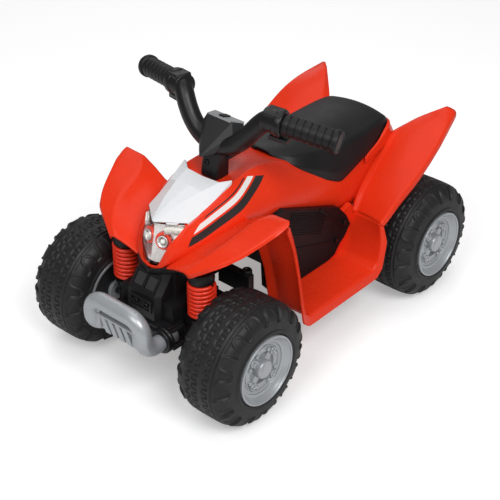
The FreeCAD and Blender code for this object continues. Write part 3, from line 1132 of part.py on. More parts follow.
def make_nose():
    """Silver bumper hoop with its slotted plate, and the black grille above the nose block."""
    front = BUMPER_TUBE_RADIUS - HALF_LENGTH
    x = BUMPER_HALF_WIDTH
    points = [Vector(x, BLOCK_FRONT, BUMPER_LOW), Vector(x, front, BUMPER_LOW), Vector(x, front, BUMPER_HIGH)]
    points += [Vector(-point.x, point.y, point.z) for point in reversed(points)]
    hoop = bent_tube(points, BUMPER_BEND_RADIUS, BUMPER_TUBE_RADIUS)
    half = BUMPER_PLATE_THICKNESS / 2
    plate = block((-x, x), (front - half, front + half), (BUMPER_LOW, BUMPER_HIGH))
    slots = []
    pitch = 2 * (x - BUMPER_TUBE_RADIUS) / (BUMPER_SLOTS + 1)
    for number in range(BUMPER_SLOTS):
        middle = pitch * (number - (BUMPER_SLOTS - 1) / 2)
        slots.append(block((middle - BUMPER_SLOT_WIDTH / 2, middle + BUMPER_SLOT_WIDTH / 2),
                           (front - half - OVERRUN, front - half + BUMPER_SLOT_DEPTH),
                           (BUMPER_LOW + half, BUMPER_LOW + half + BUMPER_SLOT_HEIGHT)))
    save("front_bumper", fused(hoop, plate.cut(Part.makeCompound(slots))))
    sides = (-GRILLE_HALF_WIDTH, GRILLE_HALF_WIDTH)
    box = block(sides, (GRILLE_FRONT, TOWER_FRONT), (BLOCK_HIGH, GRILLE_TOP))
    pane_width = (2 * GRILLE_HALF_WIDTH - (GRILLE_PANES + 1) * GRILLE_FRAME) / GRILLE_PANES
    panes = []
    for number in range(GRILLE_PANES):
        low = -GRILLE_HALF_WIDTH + GRILLE_FRAME + number * (pane_width + GRILLE_FRAME)
        panes.append(block((low, low + pane_width), (GRILLE_FRONT, GRILLE_FRONT + GRILLE_RECESS),
                           (BLOCK_HIGH + GRILLE_FRAME, GRILLE_TOP - GRILLE_FRAME)))
    save("front_grille", box.cut(Part.makeCompound(panes)))


def main():
    os.makedirs("parts", exist_ok=True)
    web = make_wheels()
    make_knuckles(web)
    make_shocks()
    make_tie_rod()
    make_column()
    make_bars()
    motor_end = make_drive(web)
    make_chassis(motor_end)
    make_power()
    lamp_room = make_lamp()
    make_body(lamp_room)
    make_nose()


main()
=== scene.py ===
import math

import bmesh
import bpy
from mathutils import Matrix, Vector


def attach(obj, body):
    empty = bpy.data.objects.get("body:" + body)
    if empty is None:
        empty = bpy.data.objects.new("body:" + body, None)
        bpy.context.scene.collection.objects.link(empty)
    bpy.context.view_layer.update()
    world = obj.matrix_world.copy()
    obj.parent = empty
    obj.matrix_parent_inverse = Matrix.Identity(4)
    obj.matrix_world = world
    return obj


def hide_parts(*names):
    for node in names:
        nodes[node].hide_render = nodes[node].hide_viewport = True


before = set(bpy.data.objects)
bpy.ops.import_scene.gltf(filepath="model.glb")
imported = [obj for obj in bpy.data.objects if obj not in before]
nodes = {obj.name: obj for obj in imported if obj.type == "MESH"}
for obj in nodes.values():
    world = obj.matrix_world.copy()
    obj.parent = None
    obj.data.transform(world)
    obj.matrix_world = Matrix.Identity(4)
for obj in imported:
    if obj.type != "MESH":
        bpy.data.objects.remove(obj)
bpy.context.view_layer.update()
scene = bpy.context.scene

MM = 0.001
SAME_PLACE = 0.000002
HANDS = (("left", 1), ("right", -1))


# Finishes
def set_values(made, **values):
    """Set a node's own values and those of its inputs."""
    for key, value in values.items():
        if hasattr(made, key):
            setattr(made, key, value)
        else:
            made.inputs[key.replace("_", " ")].default_value = value


def node(tree, kind, links=None, **values):
    """Add a shader or geometry node, set its values and link its inputs."""
    made = tree.nodes.new(kind)
    set_values(made, **values)
    for key, source in (links or {}).items():
        tree.links.new(source, made.inputs[key])
    return made


def noise(tree, place, scale, detail=4.0):
    """Cloudy values over the piece."""
    return node(tree, "ShaderNodeTexNoise", {"Vector": place}, Scale=scale, Detail=detail).outputs["Fac"]


def ranged(tree, source, low, high, start=0.3, end=0.7):
    """Map a value from one range to another."""
    return node(tree, "ShaderNodeMapRange", {"Value": source}, From_Min=start, From_Max=end,
                To_Min=low, To_Max=high).outputs["Result"]


def mixed(tree, factor, first, second):
    """Blend two colours, each a value or a node's output."""
    mix = node(tree, "ShaderNodeMix", {"Factor": factor}, data_type="RGBA")
    for socket, colour in ((mix.inputs["A"], first), (mix.inputs["B"], second)):
        if isinstance(colour, bpy.types.NodeSocket):
            tree.links.new(colour, socket)
        else:
            socket.default_value = list(colour) + [1]
    return mix.outputs["Result"]


def math_node(tree, operation, first, second):
    """Arithmetic on two values, each a number or a node's output."""
    made = node(tree, "ShaderNodeMath", operation=operation)
    for socket, value in ((made.inputs[0], first), (made.inputs[1], second)):
        if isinstance(value, bpy.types.NodeSocket):
            tree.links.new(value, socket)
        else:
            socket.default_value = value
    return made.outputs[0]


MOTTLE_SCALE = 22.0
GLOSS_SCALE = 60.0
GLOSS_SPREAD = 0.1
SKIN_STRENGTH = 0.5


def moulding(name, colour, rough, grain, depth, metallic=0.0, tint=0.08, specular=0.5, pattern=None):
    """Moulded plastic or painted metal: mottled colour, uneven gloss and a fine skin."""
    material = bpy.data.materials.new(name)
    material.use_nodes = True
    tree = material.node_tree
    surface = tree.nodes["Principled BSDF"]
    place = node(tree, "ShaderNodeTexCoord").outputs["Object"]
    darker = [c * (1 - tint) for c in colour]
    lighter = [min(c * (1 + tint), 1) for c in colour]
    shade = mixed(tree, ranged(tree, noise(tree, place, MOTTLE_SCALE), 0.0, 1.0), darker, lighter)
    if pattern:
        shade = pattern(tree, place, shade)
    tree.links.new(shade, surface.inputs["Base Color"])
    gloss = noise(tree, place, GLOSS_SCALE)
    gloss = ranged(tree, gloss, rough * (1 - GLOSS_SPREAD), rough * (1 + GLOSS_SPREAD))
    tree.links.new(gloss, surface.inputs["Roughness"])
    skin = noise(tree, place, grain, detail=2.0)
    bump = node(tree, "ShaderNodeBump", {"Height": skin}, Strength=SKIN_STRENGTH, Distance=depth)
    tree.links.new(bump.outputs["Normal"], surface.inputs["Normal"])
    set_values(surface, Metallic=metallic, Specular_IOR_Level=specular)
    material.diffuse_color = list(colour) + [1]
    return material


STRIPE_RISE = 0.34
STRIPE_LEAN = 1.6
STRIPE_INSIDE = 0.050
STRIPE_FOOT = (-0.245, 0.236)
STRIPE_ENDS = (-0.226, -0.052)
STRIPE_BLACK = (0.030, 0.027, 0.026)
STRIPE_WHITE = (0.78, 0.77, 0.75)
STRIPE_BANDS = ((0.0035, 0.0135, STRIPE_BLACK), (0.0160, 0.0225, STRIPE_WHITE),
                (0.0245, 0.0262, STRIPE_BLACK))


def between(tree, value, low, high):
    """1 where a value lies between two limits, and 0 elsewhere."""
    return math_node(tree, "MULTIPLY", math_node(tree, "GREATER_THAN", value, low),
                     math_node(tree, "LESS_THAN", value, high))


def side_stripes(tree, place, shade):
    """Three plain stripes that rise along each flank of the body."""
    axes = node(tree, "ShaderNodeSeparateXYZ", {"Vector": place}).outputs
    climb = math_node(tree, "MULTIPLY", math_node(tree, "SUBTRACT", axes["Y"], STRIPE_FOOT[0]), STRIPE_RISE)
    height = math_node(tree, "SUBTRACT", math_node(tree, "SUBTRACT", axes["Z"], STRIPE_FOOT[1]), climb)
    along = math_node(tree, "ADD", axes["Y"], math_node(tree, "MULTIPLY", height, STRIPE_LEAN))
    flank = math_node(tree, "GREATER_THAN", math_node(tree, "ABSOLUTE", axes["X"], 0.0), STRIPE_INSIDE)
    inside = math_node(tree, "MULTIPLY", between(tree, along, *STRIPE_ENDS), flank)
    for low, high, colour in STRIPE_BANDS:
        band = math_node(tree, "MULTIPLY", between(tree, height, low, high), inside)
        shade = mixed(tree, band, shade, colour)
    return shade


SCARLET = (0.78, 0.036, 0.009)
RED = moulding("red_gloss_moulding", SCARLET, 0.26, 260.0, 0.000003, tint=0.02, specular=0.2)
FLANK = moulding("red_gloss_striped", SCARLET, 0.26, 260.0, 0.000003, tint=0.02, specular=0.2,
                 pattern=side_stripes)
WHITE = moulding("white_gloss_moulding", (0.75, 0.76, 0.78), 0.26, 260.0, 0.000003, tint=0.015, specular=0.4)
BLACK = moulding("black_satin_moulding", (0.008, 0.008, 0.009), 0.40, 900.0, 0.00005, tint=0.15, specular=0.3)
SEAT = moulding("seat_satin_black", (0.008, 0.008, 0.009), 0.42, 1300.0, 0.00006, tint=0.12, specular=0.3)
BAR = moulding("bar_satin_black", (0.007, 0.007, 0.008), 0.36, 700.0, 0.00003, tint=0.15, specular=0.35)
GRIP = moulding("grip_rubber", (0.008, 0.008, 0.009), 0.45, 1500.0, 0.00008, tint=0.2, specular=0.3)
DASH = moulding("dash_grey", (0.022, 0.022, 0.023), 0.38, 1000.0, 0.00005, tint=0.1, specular=0.35)
PLATE = moulding("dash_plate_grey", (0.34, 0.35, 0.36), 0.34, 1600.0, 0.0002, metallic=0.3, tint=0.12)
TYRE = moulding("tyre_matt_black", (0.012, 0.012, 0.013), 0.5, 800.0, 0.00008, tint=0.2, specular=0.35)
SILVER = moulding("silver_moulding", (0.39, 0.41, 0.43), 0.32, 700.0, 0.00003, metallic=0.35, tint=0.04)
STEEL = moulding("plain_steel", (0.42, 0.43, 0.45), 0.35, 500.0, 0.0001, metallic=1.0, tint=0.06)
SPRING = moulding("spring_red_paint", (0.80, 0.036, 0.012), 0.28, 400.0, 0.00001, tint=0.04, specular=0.4)
PANEL = moulding("panel_black", (0.005, 0.005, 0.006), 0.45, 900.0, 0.00004, tint=0.15, specular=0.18)
FRAME = moulding("frame_black", (0.007, 0.007, 0.008), 0.45, 800.0, 0.00005, tint=0.2, specular=0.3)
PANE_GREY = moulding("pane_grey", (0.030, 0.031, 0.030), 0.34, 700.0, 0.00004, tint=0.1, specular=0.4)
CHROME = moulding("reflector_bright", (0.62, 0.58, 0.56), 0.22, 90.0, 0.0004, metallic=0.8, tint=0.05)
NATURAL = moulding("gear_natural", (0.72, 0.68, 0.58), 0.45, 600.0, 0.0001, tint=0.05)
CELL = moulding("battery_grey", (0.035, 0.038, 0.045), 0.5, 700.0, 0.00015, tint=0.1)

# Clear plastic with a faint skin
LENS = moulding("lens_clear", (0.98, 0.985, 0.99), 0.02, 250.0, 0.00001, tint=0.01)
set_values(LENS.node_tree.nodes["Principled BSDF"], Transmission_Weight=1.0, IOR=1.3)
BULB = moulding("bulb_frosted", (0.80, 0.78, 0.72), 0.2, 300.0, 0.00002, tint=0.02)


# Meshes
def finished(bm, name, outward=True):
    """Turn a bmesh into a mesh with its doubles merged and its faces outwards."""
    bmesh.ops.remove_doubles(bm, verts=bm.verts, dist=SAME_PLACE)
    if outward:
        bmesh.ops.recalc_face_normals(bm, faces=bm.faces)
    mesh = bpy.data.meshes.new(name)
    bm.to_mesh(mesh)
    bm.free()
    return mesh


def grid_faces(bm, points, close_rows=False, close_columns=False):
    """Quads between rows of vertices."""
    rows, columns = len(points), len(points[0])
    for i in range(rows if close_rows else rows - 1):
        for j in range(columns if close_columns else columns - 1):
            k, m = (i + 1) % rows, (j + 1) % columns
            bm.faces.new((points[i][j], points[i][m], points[k][m], points[k][j]))


def lathe(profile, count=64):
    """Turn a profile of (offset, radius) about X, in millimetres.

    One that starts on the axis ends there too. Any other is a closed loop.
    """
    bm = bmesh.new()
    rows = []
    for step in range(count):
        angle = 2 * math.pi * step / count
        row = [bm.verts.new(Vector((x, r * math.cos(angle), r * math.sin(angle))) * MM) for x, r in profile]
        rows.append(row)
    grid_faces(bm, rows, close_rows=True, close_columns=profile[0][1] > 0)
    bmesh.ops.remove_doubles(bm, verts=bm.verts, dist=SAME_PLACE)
    bmesh.ops.dissolve_degenerate(bm, edges=bm.edges, dist=SAME_PLACE / 2)
    return finished(bm, "lathe")


def tube(points, radius, sides=12):
    """Round wire along points in millimetres, with closed ends."""
    bm = bmesh.new()
    path = [Vector(p) for p in points]
    side = Vector((1, 0, 0)) if abs((path[1] - path[0]).normalized().x) < 0.9 else Vector((0, 1, 0))
    rows = []
    for i, spot in enumerate(path):
        ahead = (path[min(i + 1, len(path) - 1)] - path[max(i - 1, 0)]).normalized()
        side = (side - ahead * side.dot(ahead)).normalized()
        other = ahead.cross(side)
        row = []
        for k in range(sides):
            angle = 2 * math.pi * k / sides
            outward = side * math.cos(angle) + other * math.sin(angle)
            row.append(bm.verts.new((spot + outward * radius) * MM))
        rows.append(row)
    grid_faces(bm, rows, close_columns=True)
    bm.faces.new(rows[0])
    bm.faces.new(rows[-1])
    return finished(bm, "tube")


def rounded_path(corners, bend, steps=8):
    """Path through corners whose turns are arcs."""
    path = [Vector(corners[0])]
    for before, corner, after in zip(corners, corners[1:], corners[2:]):
        spot = Vector(corner)
        back, on = (Vector(before) - spot).normalized(), (Vector(after) - spot).normalized()
        half = math.acos(max(-1, min(1, back.dot(on)))) / 2
        middle = spot + (back + on).normalized() * bend / math.sin(half)
        first = (spot + back * bend / math.tan(half) - middle).normalized()
        last = (spot + on * bend / math.tan(half) - middle).normalized()
        path += [middle + first.slerp(last, k / steps) * bend for k in range(steps + 1)]
    return path + [Vector(corners[-1])]


def smooth_path(points, steps=6):
    """Curve through points."""
    spots = [Vector(p) for p in points]
    spots = [2 * spots[0] - spots[1]] + spots + [2 * spots[-1] - spots[-2]]
    path = []
    for a, b, c, d in zip(spots, spots[1:], spots[2:], spots[3:]):
        for k in range(steps):
            t = k / steps
            bend = (2 * a - 5 * b + 4 * c - d) * t ** 2 + (3 * b - a - 3 * c + d) * t ** 3
            path.append(0.5 * (2 * b + (c - a) * t + bend))
    return path + [spots[-2]]


def slab(low, high):
    """Plain block between two corners in millimetres."""
    bm = bmesh.new()
    bmesh.ops.create_cube(bm, size=1)
    size = Vector(high) - Vector(low)
    middle = (Vector(high) + Vector(low)) / 2
    bm.transform(Matrix.Translation(middle * MM) @ Matrix.Diagonal((*(size * MM), 1)))
    return finished(bm, "slab")


def prism(outline, low, high):
    """Solid between two planes across X with an outline of (y, z), in millimetres."""
    bm = bmesh.new()
    ends = [[bm.verts.new(Vector((x, y, z)) * MM) for y, z in outline] for x in (low, high)]
    grid_faces(bm, ends, close_columns=True)
    for end in ends:
        bm.faces.new(end)
    return finished(bm, "prism")


def bar_between(start, end, wide, low, high):
    """Flat bar on a side panel from one (y, z) to another, in millimetres."""
    across = Vector((start[1] - end[1], end[0] - start[0])).normalized() * wide / 2
    first, last = Vector(start), Vector(end)
    return prism([first - across, last - across, last + across, first + across], low, high)


def shift(x, y, z):
    """Move in millimetres."""
    return Matrix.Translation(Vector((x, y, z)) * MM)


def frame_matrix(origin, along, upward=(0, 0, 1)):
    """Matrix that takes the X axis to a direction and the origin to a place, in millimetres."""
    x_axis = Vector(along).normalized()
    z_axis = Vector(upward)
    z_axis = (z_axis - x_axis * z_axis.dot(x_axis)).normalized()
    y_axis = z_axis.cross(x_axis)
    matrix = Matrix((x_axis, y_axis, z_axis)).transposed().to_4x4()
    matrix.translation = Vector(origin) * MM
    return matrix


def placed(mesh, matrix):
    """Copy of a mesh moved by a matrix, its faces kept outwards."""
    copy = mesh.copy()
    copy.transform(matrix)
    if matrix.determinant() < 0:
        copy.flip_normals()
    return copy


MIRROR = Matrix.Diagonal((-1, 1, 1, 1))


def sided(mesh, side):
    """The mesh itself on the left, its mirror image on the right."""
    return mesh if side > 0 else placed(mesh, MIRROR)


def joined(*meshes):
    """One mesh from several."""
    bm = bmesh.new()
    for mesh in meshes:
        bm.from_mesh(mesh)
    return finished(bm, "joined", outward=False)


def both_sides(mesh):
    """A mesh and its mirror image in one."""
    return joined(mesh, sided(mesh, -1))


def baked(maker):
    """Plain mesh of an object with its modifiers applied. The object itself goes."""
    graph = bpy.context.evaluated_depsgraph_get()
    result = bpy.data.meshes.new_from_object(maker.evaluated_get(graph))
    bpy.data.objects.remove(maker)
    return result


# Copies of one shape along a step and round a turn
def repeat_tree():
    """Node tree that sets copies of a shape, makes them real and gives them a finish."""
    tree = bpy.data.node_groups.new("repeat_shape", "GeometryNodeTree")
    for name, kind in (("Shape", "Geometry"), ("Count", "Int"), ("Step", "Vector"), ("Turn", "Vector"),
                       ("Finish", "Material")):
        tree.interface.new_socket(name, in_out="INPUT", socket_type="NodeSocket" + kind)
    tree.interface.new_socket("Shape", in_out="OUTPUT", socket_type="NodeSocketGeometry")
    inside = node(tree, "NodeGroupInput").outputs
    index = node(tree, "GeometryNodeInputIndex").outputs[0]
    step = node(tree, "ShaderNodeVectorMath", {0: index, 1: inside["Step"]}, operation="MULTIPLY").outputs[0]
    turn = node(tree, "ShaderNodeVectorMath", {0: index, 1: inside["Turn"]}, operation="MULTIPLY").outputs[0]
    spin = node(tree, "FunctionNodeEulerToRotation", {0: turn}).outputs[0]
    points = node(tree, "GeometryNodePoints", {"Count": inside["Count"], "Position": step}).outputs[0]
    copies = node(tree, "GeometryNodeInstanceOnPoints",
                  {"Points": points, "Instance": inside["Shape"], "Rotation": spin}).outputs[0]
    real = node(tree, "GeometryNodeRealizeInstances", {0: copies}).outputs[0]
    dressed = node(tree, "GeometryNodeSetMaterial",
                   {"Geometry": real, "Material": inside["Finish"]}).outputs[0]
    node(tree, "NodeGroupOutput", {0: dressed})
    return tree


REPEAT = repeat_tree()
REPEAT_INPUTS = {item.name: item.identifier for item in REPEAT.interface.items_tree if item.in_out == "INPUT"}


def repeated(shape, count, finish, step=(0, 0, 0), turn=(0, 0, 0)):
    """Plain mesh of a shape repeated by the tree: steps in millimetres, turns in radians."""
    maker = bpy.data.objects.new("maker", shape)
    copies = maker.modifiers.new("copies", "NODES")
    copies.node_group = REPEAT
    values = {"Count": count, "Step": Vector(step) * MM, "Turn": Vector(turn), "Finish": finish}
    for name, value in values.items():
        copies[REPEAT_INPUTS[name]] = value
    scene.collection.objects.link(maker)
    return baked(maker)


def ring(shape, count, finish):
    """Copies of a shape evenly round the X axis."""
    return repeated(shape, count, finish, turn=(2 * math.pi / count, 0, 0))


# Pieces
SHELL_WALL = 3.0
FACET_ANGLE = 5.0
BLOCK_ANGLE = 30.0
SHARP_ANGLE = 40.0


def new_piece(name, mesh, flat=False):
    """Object in the scene with its faces shaded smooth or flat."""
    piece = bpy.data.objects.new(name, mesh)
    scene.collection.objects.link(piece)
    for face in mesh.polygons:
        face.use_smooth = not flat
    return piece


def dress(piece, finish, slot, *replaced, body="chassis"):
    """Give a piece its finish and its body, and hide the nodes that it stands for. Its record slot is not
    used.
    """
    piece.data.materials.clear()
    piece.data.materials.append(finish)
    for face in piece.data.polygons:
        face.material_index = 0
    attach(piece, body)
    if replaced:
        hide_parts(*replaced)


def bevelled(piece, width, angle=SHARP_ANGLE, segments=2):
    """Round the edges of a piece that turn by more than an angle."""
    edge = piece.modifiers.new("edge", "BEVEL")
    edge.width = width * MM
    edge.segments = segments
    edge.limit_method = "ANGLE"
    edge.angle_limit = math.radians(angle)
    edge.harden_normals = True
    return piece


def rounded(mesh, width, segments=2):
    """Plain mesh with its edges rounded."""
    return baked(bevelled(new_piece("maker", mesh), width, BLOCK_ANGLE, segments))


def softened(name, source, width):
    """Copy of a CAD node with its edges rounded."""
    mesh = nodes[source].data.copy()
    bm = bmesh.new()
    bm.from_mesh(mesh)
    bmesh.ops.remove_doubles(bm, verts=bm.verts, dist=0.00001)
    bmesh.ops.dissolve_limit(bm, angle_limit=math.radians(1.0), verts=bm.verts, edges=bm.edges)
    bm.to_mesh(mesh)
    bm.free()
    return bevelled(new_piece(name, mesh), width, BLOCK_ANGLE)


def mirrored(rows):
    """Rows of the right side from rows of the left."""
    return [[(-x, y, z) for x, y, z in row] for row in rows]


def section(y, *points):
    """Row of a net in one plane across Y."""
    return [(x, y, z) for x, z in points]


def whole(rows):
    """Full rows from left halves that end on the centre line."""
    return [row + [(-x, y, z) for x, y, z in reversed(row[:-1])] for row in rows]


def net_piece(name, rows, flip=False, crease_rows=None, crease_columns=None):
    """Quad net in millimetres whose listed rows and columns stay creased."""
    bm = bmesh.new()
    points = [[bm.verts.new(Vector(p) * MM) for p in row] for row in rows]
    grid_faces(bm, points)
    if flip:
        bmesh.ops.reverse_faces(bm, faces=bm.faces)
    layer = bm.edges.layers.float.new("crease_edge")
    for i, row in enumerate(points):
        for j, point in enumerate(row):
            if j + 1 < len(row) and i in (crease_rows or {}):
                bm.edges.get((point, row[j + 1]))[layer] = crease_rows[i]
            if i + 1 < len(points) and j in (crease_columns or {}):
                bm.edges.get((point, points[i + 1][j]))[layer] = crease_columns[j]
    mesh = bpy.data.meshes.new(name)
    bm.to_mesh(mesh)
    bm.free()
    return new_piece(name, mesh)


def with_wall(piece, wall):
    """Give a net a wall of one thickness on its inner side."""
    solid = piece.modifiers.new("wall", "SOLIDIFY")
    solid.thickness = wall * MM
    solid.offset = -1
    solid.use_even_offset = True
    return solid


def walled(piece, wall, levels=3, rim=0.4):
    """Give a net its wall and round it."""
    solid = with_wall(piece, wall)
    solid.edge_crease_rim = solid.edge_crease_outer = solid.edge_crease_inner = rim
    smooth = piece.modifiers.new("round", "SUBSURF")
    smooth.levels = smooth.render_levels = levels
    smooth.boundary_smooth = "PRESERVE_CORNERS"
    return piece


def faceted(piece, wall, edge):
    """Give a net its wall, keep its faces flat and round its edges a little."""
    with_wall(piece, wall)
    return bevelled(piece, edge, angle=FACET_ANGLE)


def red_pair(name, source, rows, crease_rows, crease_columns, rim=0.4):
    """Red shell on the left and its mirror image on the right."""
    for hand, side in HANDS:
        shown = rows if side > 0 else mirrored(rows)
        piece = net_piece(name + hand, shown, side < 0, crease_rows, crease_columns)
        dress(walled(piece, SHELL_WALL, rim=rim), RED, "red_body", source + hand)


# Red centre body: half rows from the lower edge up to the centre line, the lamp's rim first
body_rows = [
    [(0, -256, 212), (14, -254, 213), (20, -251, 224), (30, -244, 250), (39, -212, 277), (20, -208, 279),
     (0, -207, 280)],
    [(0, -254, 206), (18, -253, 207), (30, -249, 222), (39, -240, 247), (42, -208, 279), (21, -204, 281),
     (0, -203, 282)],
    [(24, -240, 211), (35, -241, 219), (43, -236, 234), (47, -224, 254), (43, -203, 281), (21, -200, 283),
     (0, -199, 284)],
    [(46, -209, 222), (56, -209, 236), (61, -209, 247), (53, -207, 265), (44, -196, 284), (22, -194, 286),
     (0, -193, 287)],
    [(58, -165, 228), (66, -165, 242), (72, -165, 258), (60, -165, 280), (47, -163, 297), (24, -163, 298),
     (0, -163, 298)],
    [(62, -128, 228), (73, -128, 248), (84, -128, 271), (66, -128, 294), (49, -128, 312), (28, -130, 306),
     (0, -131, 303)],
    [(65, -104, 224), (76, -104, 244), (86, -104, 266), (68, -104, 294), (47, -106, 315), (25, -106, 304),
     (0, -106, 300)],
    [(68, -60, 210), (82, -60, 235), (88, -60, 256), (72, -60, 294), (44, -62, 319), (23, -62, 311),
     (0, -62, 307)],
    section(0, (70, 195), (86, 225), (88, 245), (76, 279), (42, 299), (22, 300), (0, 300)),
    section(60, (74, 180), (88, 205), (89, 225), (82, 258), (46, 272), (24, 274), (0, 275)),
    section(99, (76, 165), (88, 190), (89, 213), (86, 238), (52, 256), (26, 258), (0, 260)),
    section(150, (76, 160), (88, 180), (87, 200), (82, 242), (52, 256), (26, 258), (0, 259)),
    section(195, (70, 170), (80, 203), (80, 222), (76, 249), (52, 258), (26, 260), (0, 261)),
    section(252, (60, 190), (72, 225), (78, 248), (71, 269), (45, 270), (23, 270), (0, 270)),
    section(274, (50, 205), (60, 228), (66, 247), (60, 262), (40, 266), (20, 267), (0, 268)),
    section(275, (30, 216), (34, 228), (36, 240), (33, 246), (24, 248), (12, 248), (0, 248)),
]
body = net_piece("centre_body", whole(body_rows), flip=True, crease_rows={0: 1.0, 1: 0.7, 14: 0.6},
                 crease_columns={2: 0.25, 4: 0.6, 8: 0.6, 10: 0.25})
dress(walled(body, 2.5), FLANK, "red_body", "body_shell")

# Fenders, from the middle outwards, front row first
front_fender_rows = [
    [(26, -249, 214), (44, -251, 222), (60, -254, 228), (73, -256, 231), (81, -257, 229), (82, -255, 222)],
    [(44, -231, 232), (58, -232, 240), (74, -235, 245), (95, -241, 252), (127, -235, 257), (129, -233, 252)],
    [(54, -206, 244), (68, -206, 250), (88, -207, 256), (108, -208, 270), (145, -209, 268.5),
     (147, -208, 263.5)],
    [(60, -178, 251), (74, -178, 257), (94, -178, 263), (112, -178, 276.5), (156, -182, 280.5),
     (158.5, -181.5, 275.5)],
    [(68, -146, 258), (84, -146, 266), (100, -146, 274), (117, -147, 290.5), (167, -154, 293),
     (170, -154, 288)],
    [(72, -124, 262), (90, -125, 269.5), (110, -125, 282.5), (134, -126, 296), (169, -130, 301),
     (173, -134, 296)],
]
rear_fender_rows = [
    [(88, 131, 167), (96, 124, 168), (103, 127, 170), (135, 117, 177), (165, 106, 182), (168, 106, 179),
     (169, 113, 174)],
    [(84, 146, 190), (90, 141, 194), (100, 148, 197), (131, 151, 204), (166, 152, 208), (168, 153, 205),
     (169, 155, 197)],
    [(76, 190, 217), (83, 184, 221), (94, 192, 225), (126, 194, 234), (168, 194, 229), (170, 194, 226),
     (171, 196, 218)],
    [(70, 232, 240), (77, 227, 244), (88, 236, 249), (123, 233, 258), (167, 231, 251), (169.5, 231, 248),
     (170, 233, 240)],
    [(66, 256, 252), (73, 250, 258), (84, 261, 265), (120, 263, 272), (163, 262, 268), (166, 262, 265),
     (167, 264, 257)],
    [(81, 283, 264), (86, 283, 269), (97, 289, 279), (127, 295, 286.5), (156, 293, 279.5), (159, 293, 277),
     (160, 295, 269)],
    [(124, 327, 290), (127, 328, 293), (131, 331, 296), (137, 335, 294), (144, 338, 290), (146.5, 338, 287),
     (148, 337, 280)],
]
red_pair("fender_front_", "front_fender_", front_fender_rows, crease_rows={0: 0.6, 5: 1},
         crease_columns={1: 0.6, 3: 0.95, 4: 0.9, 5: 0.9})
red_pair("fender_rear_", "rear_fender_", rear_fender_rows, crease_rows={0: 0.95, 5: 0.2, 6: 0.6},
         crease_columns={1: 0.7, 2: 1, 4: 0.6, 5: 0.8, 6: 0.9})

# Footwells: leg guard, board and rear wall in one tray, inner edge first
footwell_rows = [
    [(107, -133, 266), (119, -124, 268), (140, -124, 276), (165, -123, 285), (170, -133, 283)],
    [(107, -128, 229), (119, -119, 230), (140, -118, 238), (169, -113, 247), (175, -123, 246)],
    [(107, -113, 183), (119, -104, 183), (140, -105, 185), (170, -101, 187), (176, -111, 186)],
    [(104, -98, 114), (118, -89, 113), (140, -90, 112), (171, -88, 110), (176, -97, 99)],
    [(91, -84, 101), (112, -79, 101), (140, -79, 101), (171, -77, 101), (176, -83, 86)],
    [(91, 84, 101), (105, 86, 101), (140, 88, 101), (171, 89, 101), (176, 92, 86)],
    [(91, 98, 106), (106, 99, 106), (140, 98, 109), (171, 99, 111), (176, 106, 99)],
    [(91, 113, 130), (104, 112, 130), (140, 109, 139), (172, 106, 147), (176, 115, 146)],
    [(91, 129, 167), (102, 127, 169), (135, 117, 176), (165, 106, 181), (168, 113, 177)],
]
red_pair("footwell_tray_", "footwell_", footwell_rows, crease_rows={3: 0.3, 4: 0.6, 5: 0.6, 6: 0.4, 8: 0.9},
         crease_columns={1: 0.7, 3: 0.85}, rim=0.7)

# Raised pads on each board
PADS_ACROSS = 4
PADS_ALONG = 9
pad = slab((108, -70, 100.2), (119, -58, 101.3))
pad_row = repeated(pad, PADS_ACROSS, RED, step=(15.5, 0, 0))
pads = repeated(pad_row, PADS_ALONG, RED, step=(0, 16.5, 0))
for hand, side in HANDS:
    dress(new_piece("board_pads_" + hand, sided(pads, side), flat=True), RED, "red_body")

# White cowl: half rows from its edge to the centre line, with a rear notch between its two tabs
cowl_rows = [
    [(41, -209, 277), (41, -210, 281), (4, -241, 283.5), (0, -243, 283.5)],
    [(44.5, -184, 284), (44.5, -184, 288), (15, -203, 300), (0, -203, 301.5)],
    [(47, -158, 295), (47, -158, 299.5), (26, -165, 309.5), (0, -164, 311)],
    [(49.5, -122, 312), (49.5, -121, 319), (33, -132, 314), (0, -134, 313.5)],
]
cowl = net_piece("white_cowl", whole(cowl_rows), flip=True)
dress(faceted(cowl, 3.0, 0.8), WHITE, "white_cowl", "front_cowl")

# Seat: half rows from the skirt to the centre line
seat_rows = [
    [(15, 2, 290), (14.5, 2, 300), (12, 3, 302), (7, 3, 303), (0, 3, 303)],
    [(59, 13, 274), (57.5, 14, 287), (46, 17, 298), (24, 18, 304), (0, 18, 306)],
    section(60, (78, 252), (75.5, 270), (60, 294), (32, 301), (0, 303)),
    [(87.5, 101, 232), (86, 101, 244), (67, 101, 285), (35, 100, 294), (0, 100, 297)],
    section(150, (84, 244), (82.5, 252), (68, 283), (35, 291), (0, 294)),
    section(200, (78, 253), (77, 261), (67, 283), (34, 291), (0, 294)),
    [(69, 247, 266), (68.5, 247, 273), (62, 244, 285), (33, 246, 291), (0, 247, 292)],
    [(58, 264, 268), (57.5, 264, 275), (54, 261, 281), (30, 265, 284), (0, 266, 286)],
    [(54, 266, 258), (53, 266, 263), (49, 266, 267), (28, 268, 269), (0, 269, 270)],
]
seat = net_piece("saddle", whole(seat_rows), flip=True,
                 crease_columns={0: 1, 1: 0.5, 2: 0.45, 6: 0.45, 7: 0.5, 8: 1}, crease_rows={3: 0.25, 7: 0.3})
dress(walled(seat, 4.0), SEAT, "black_body", "seat")

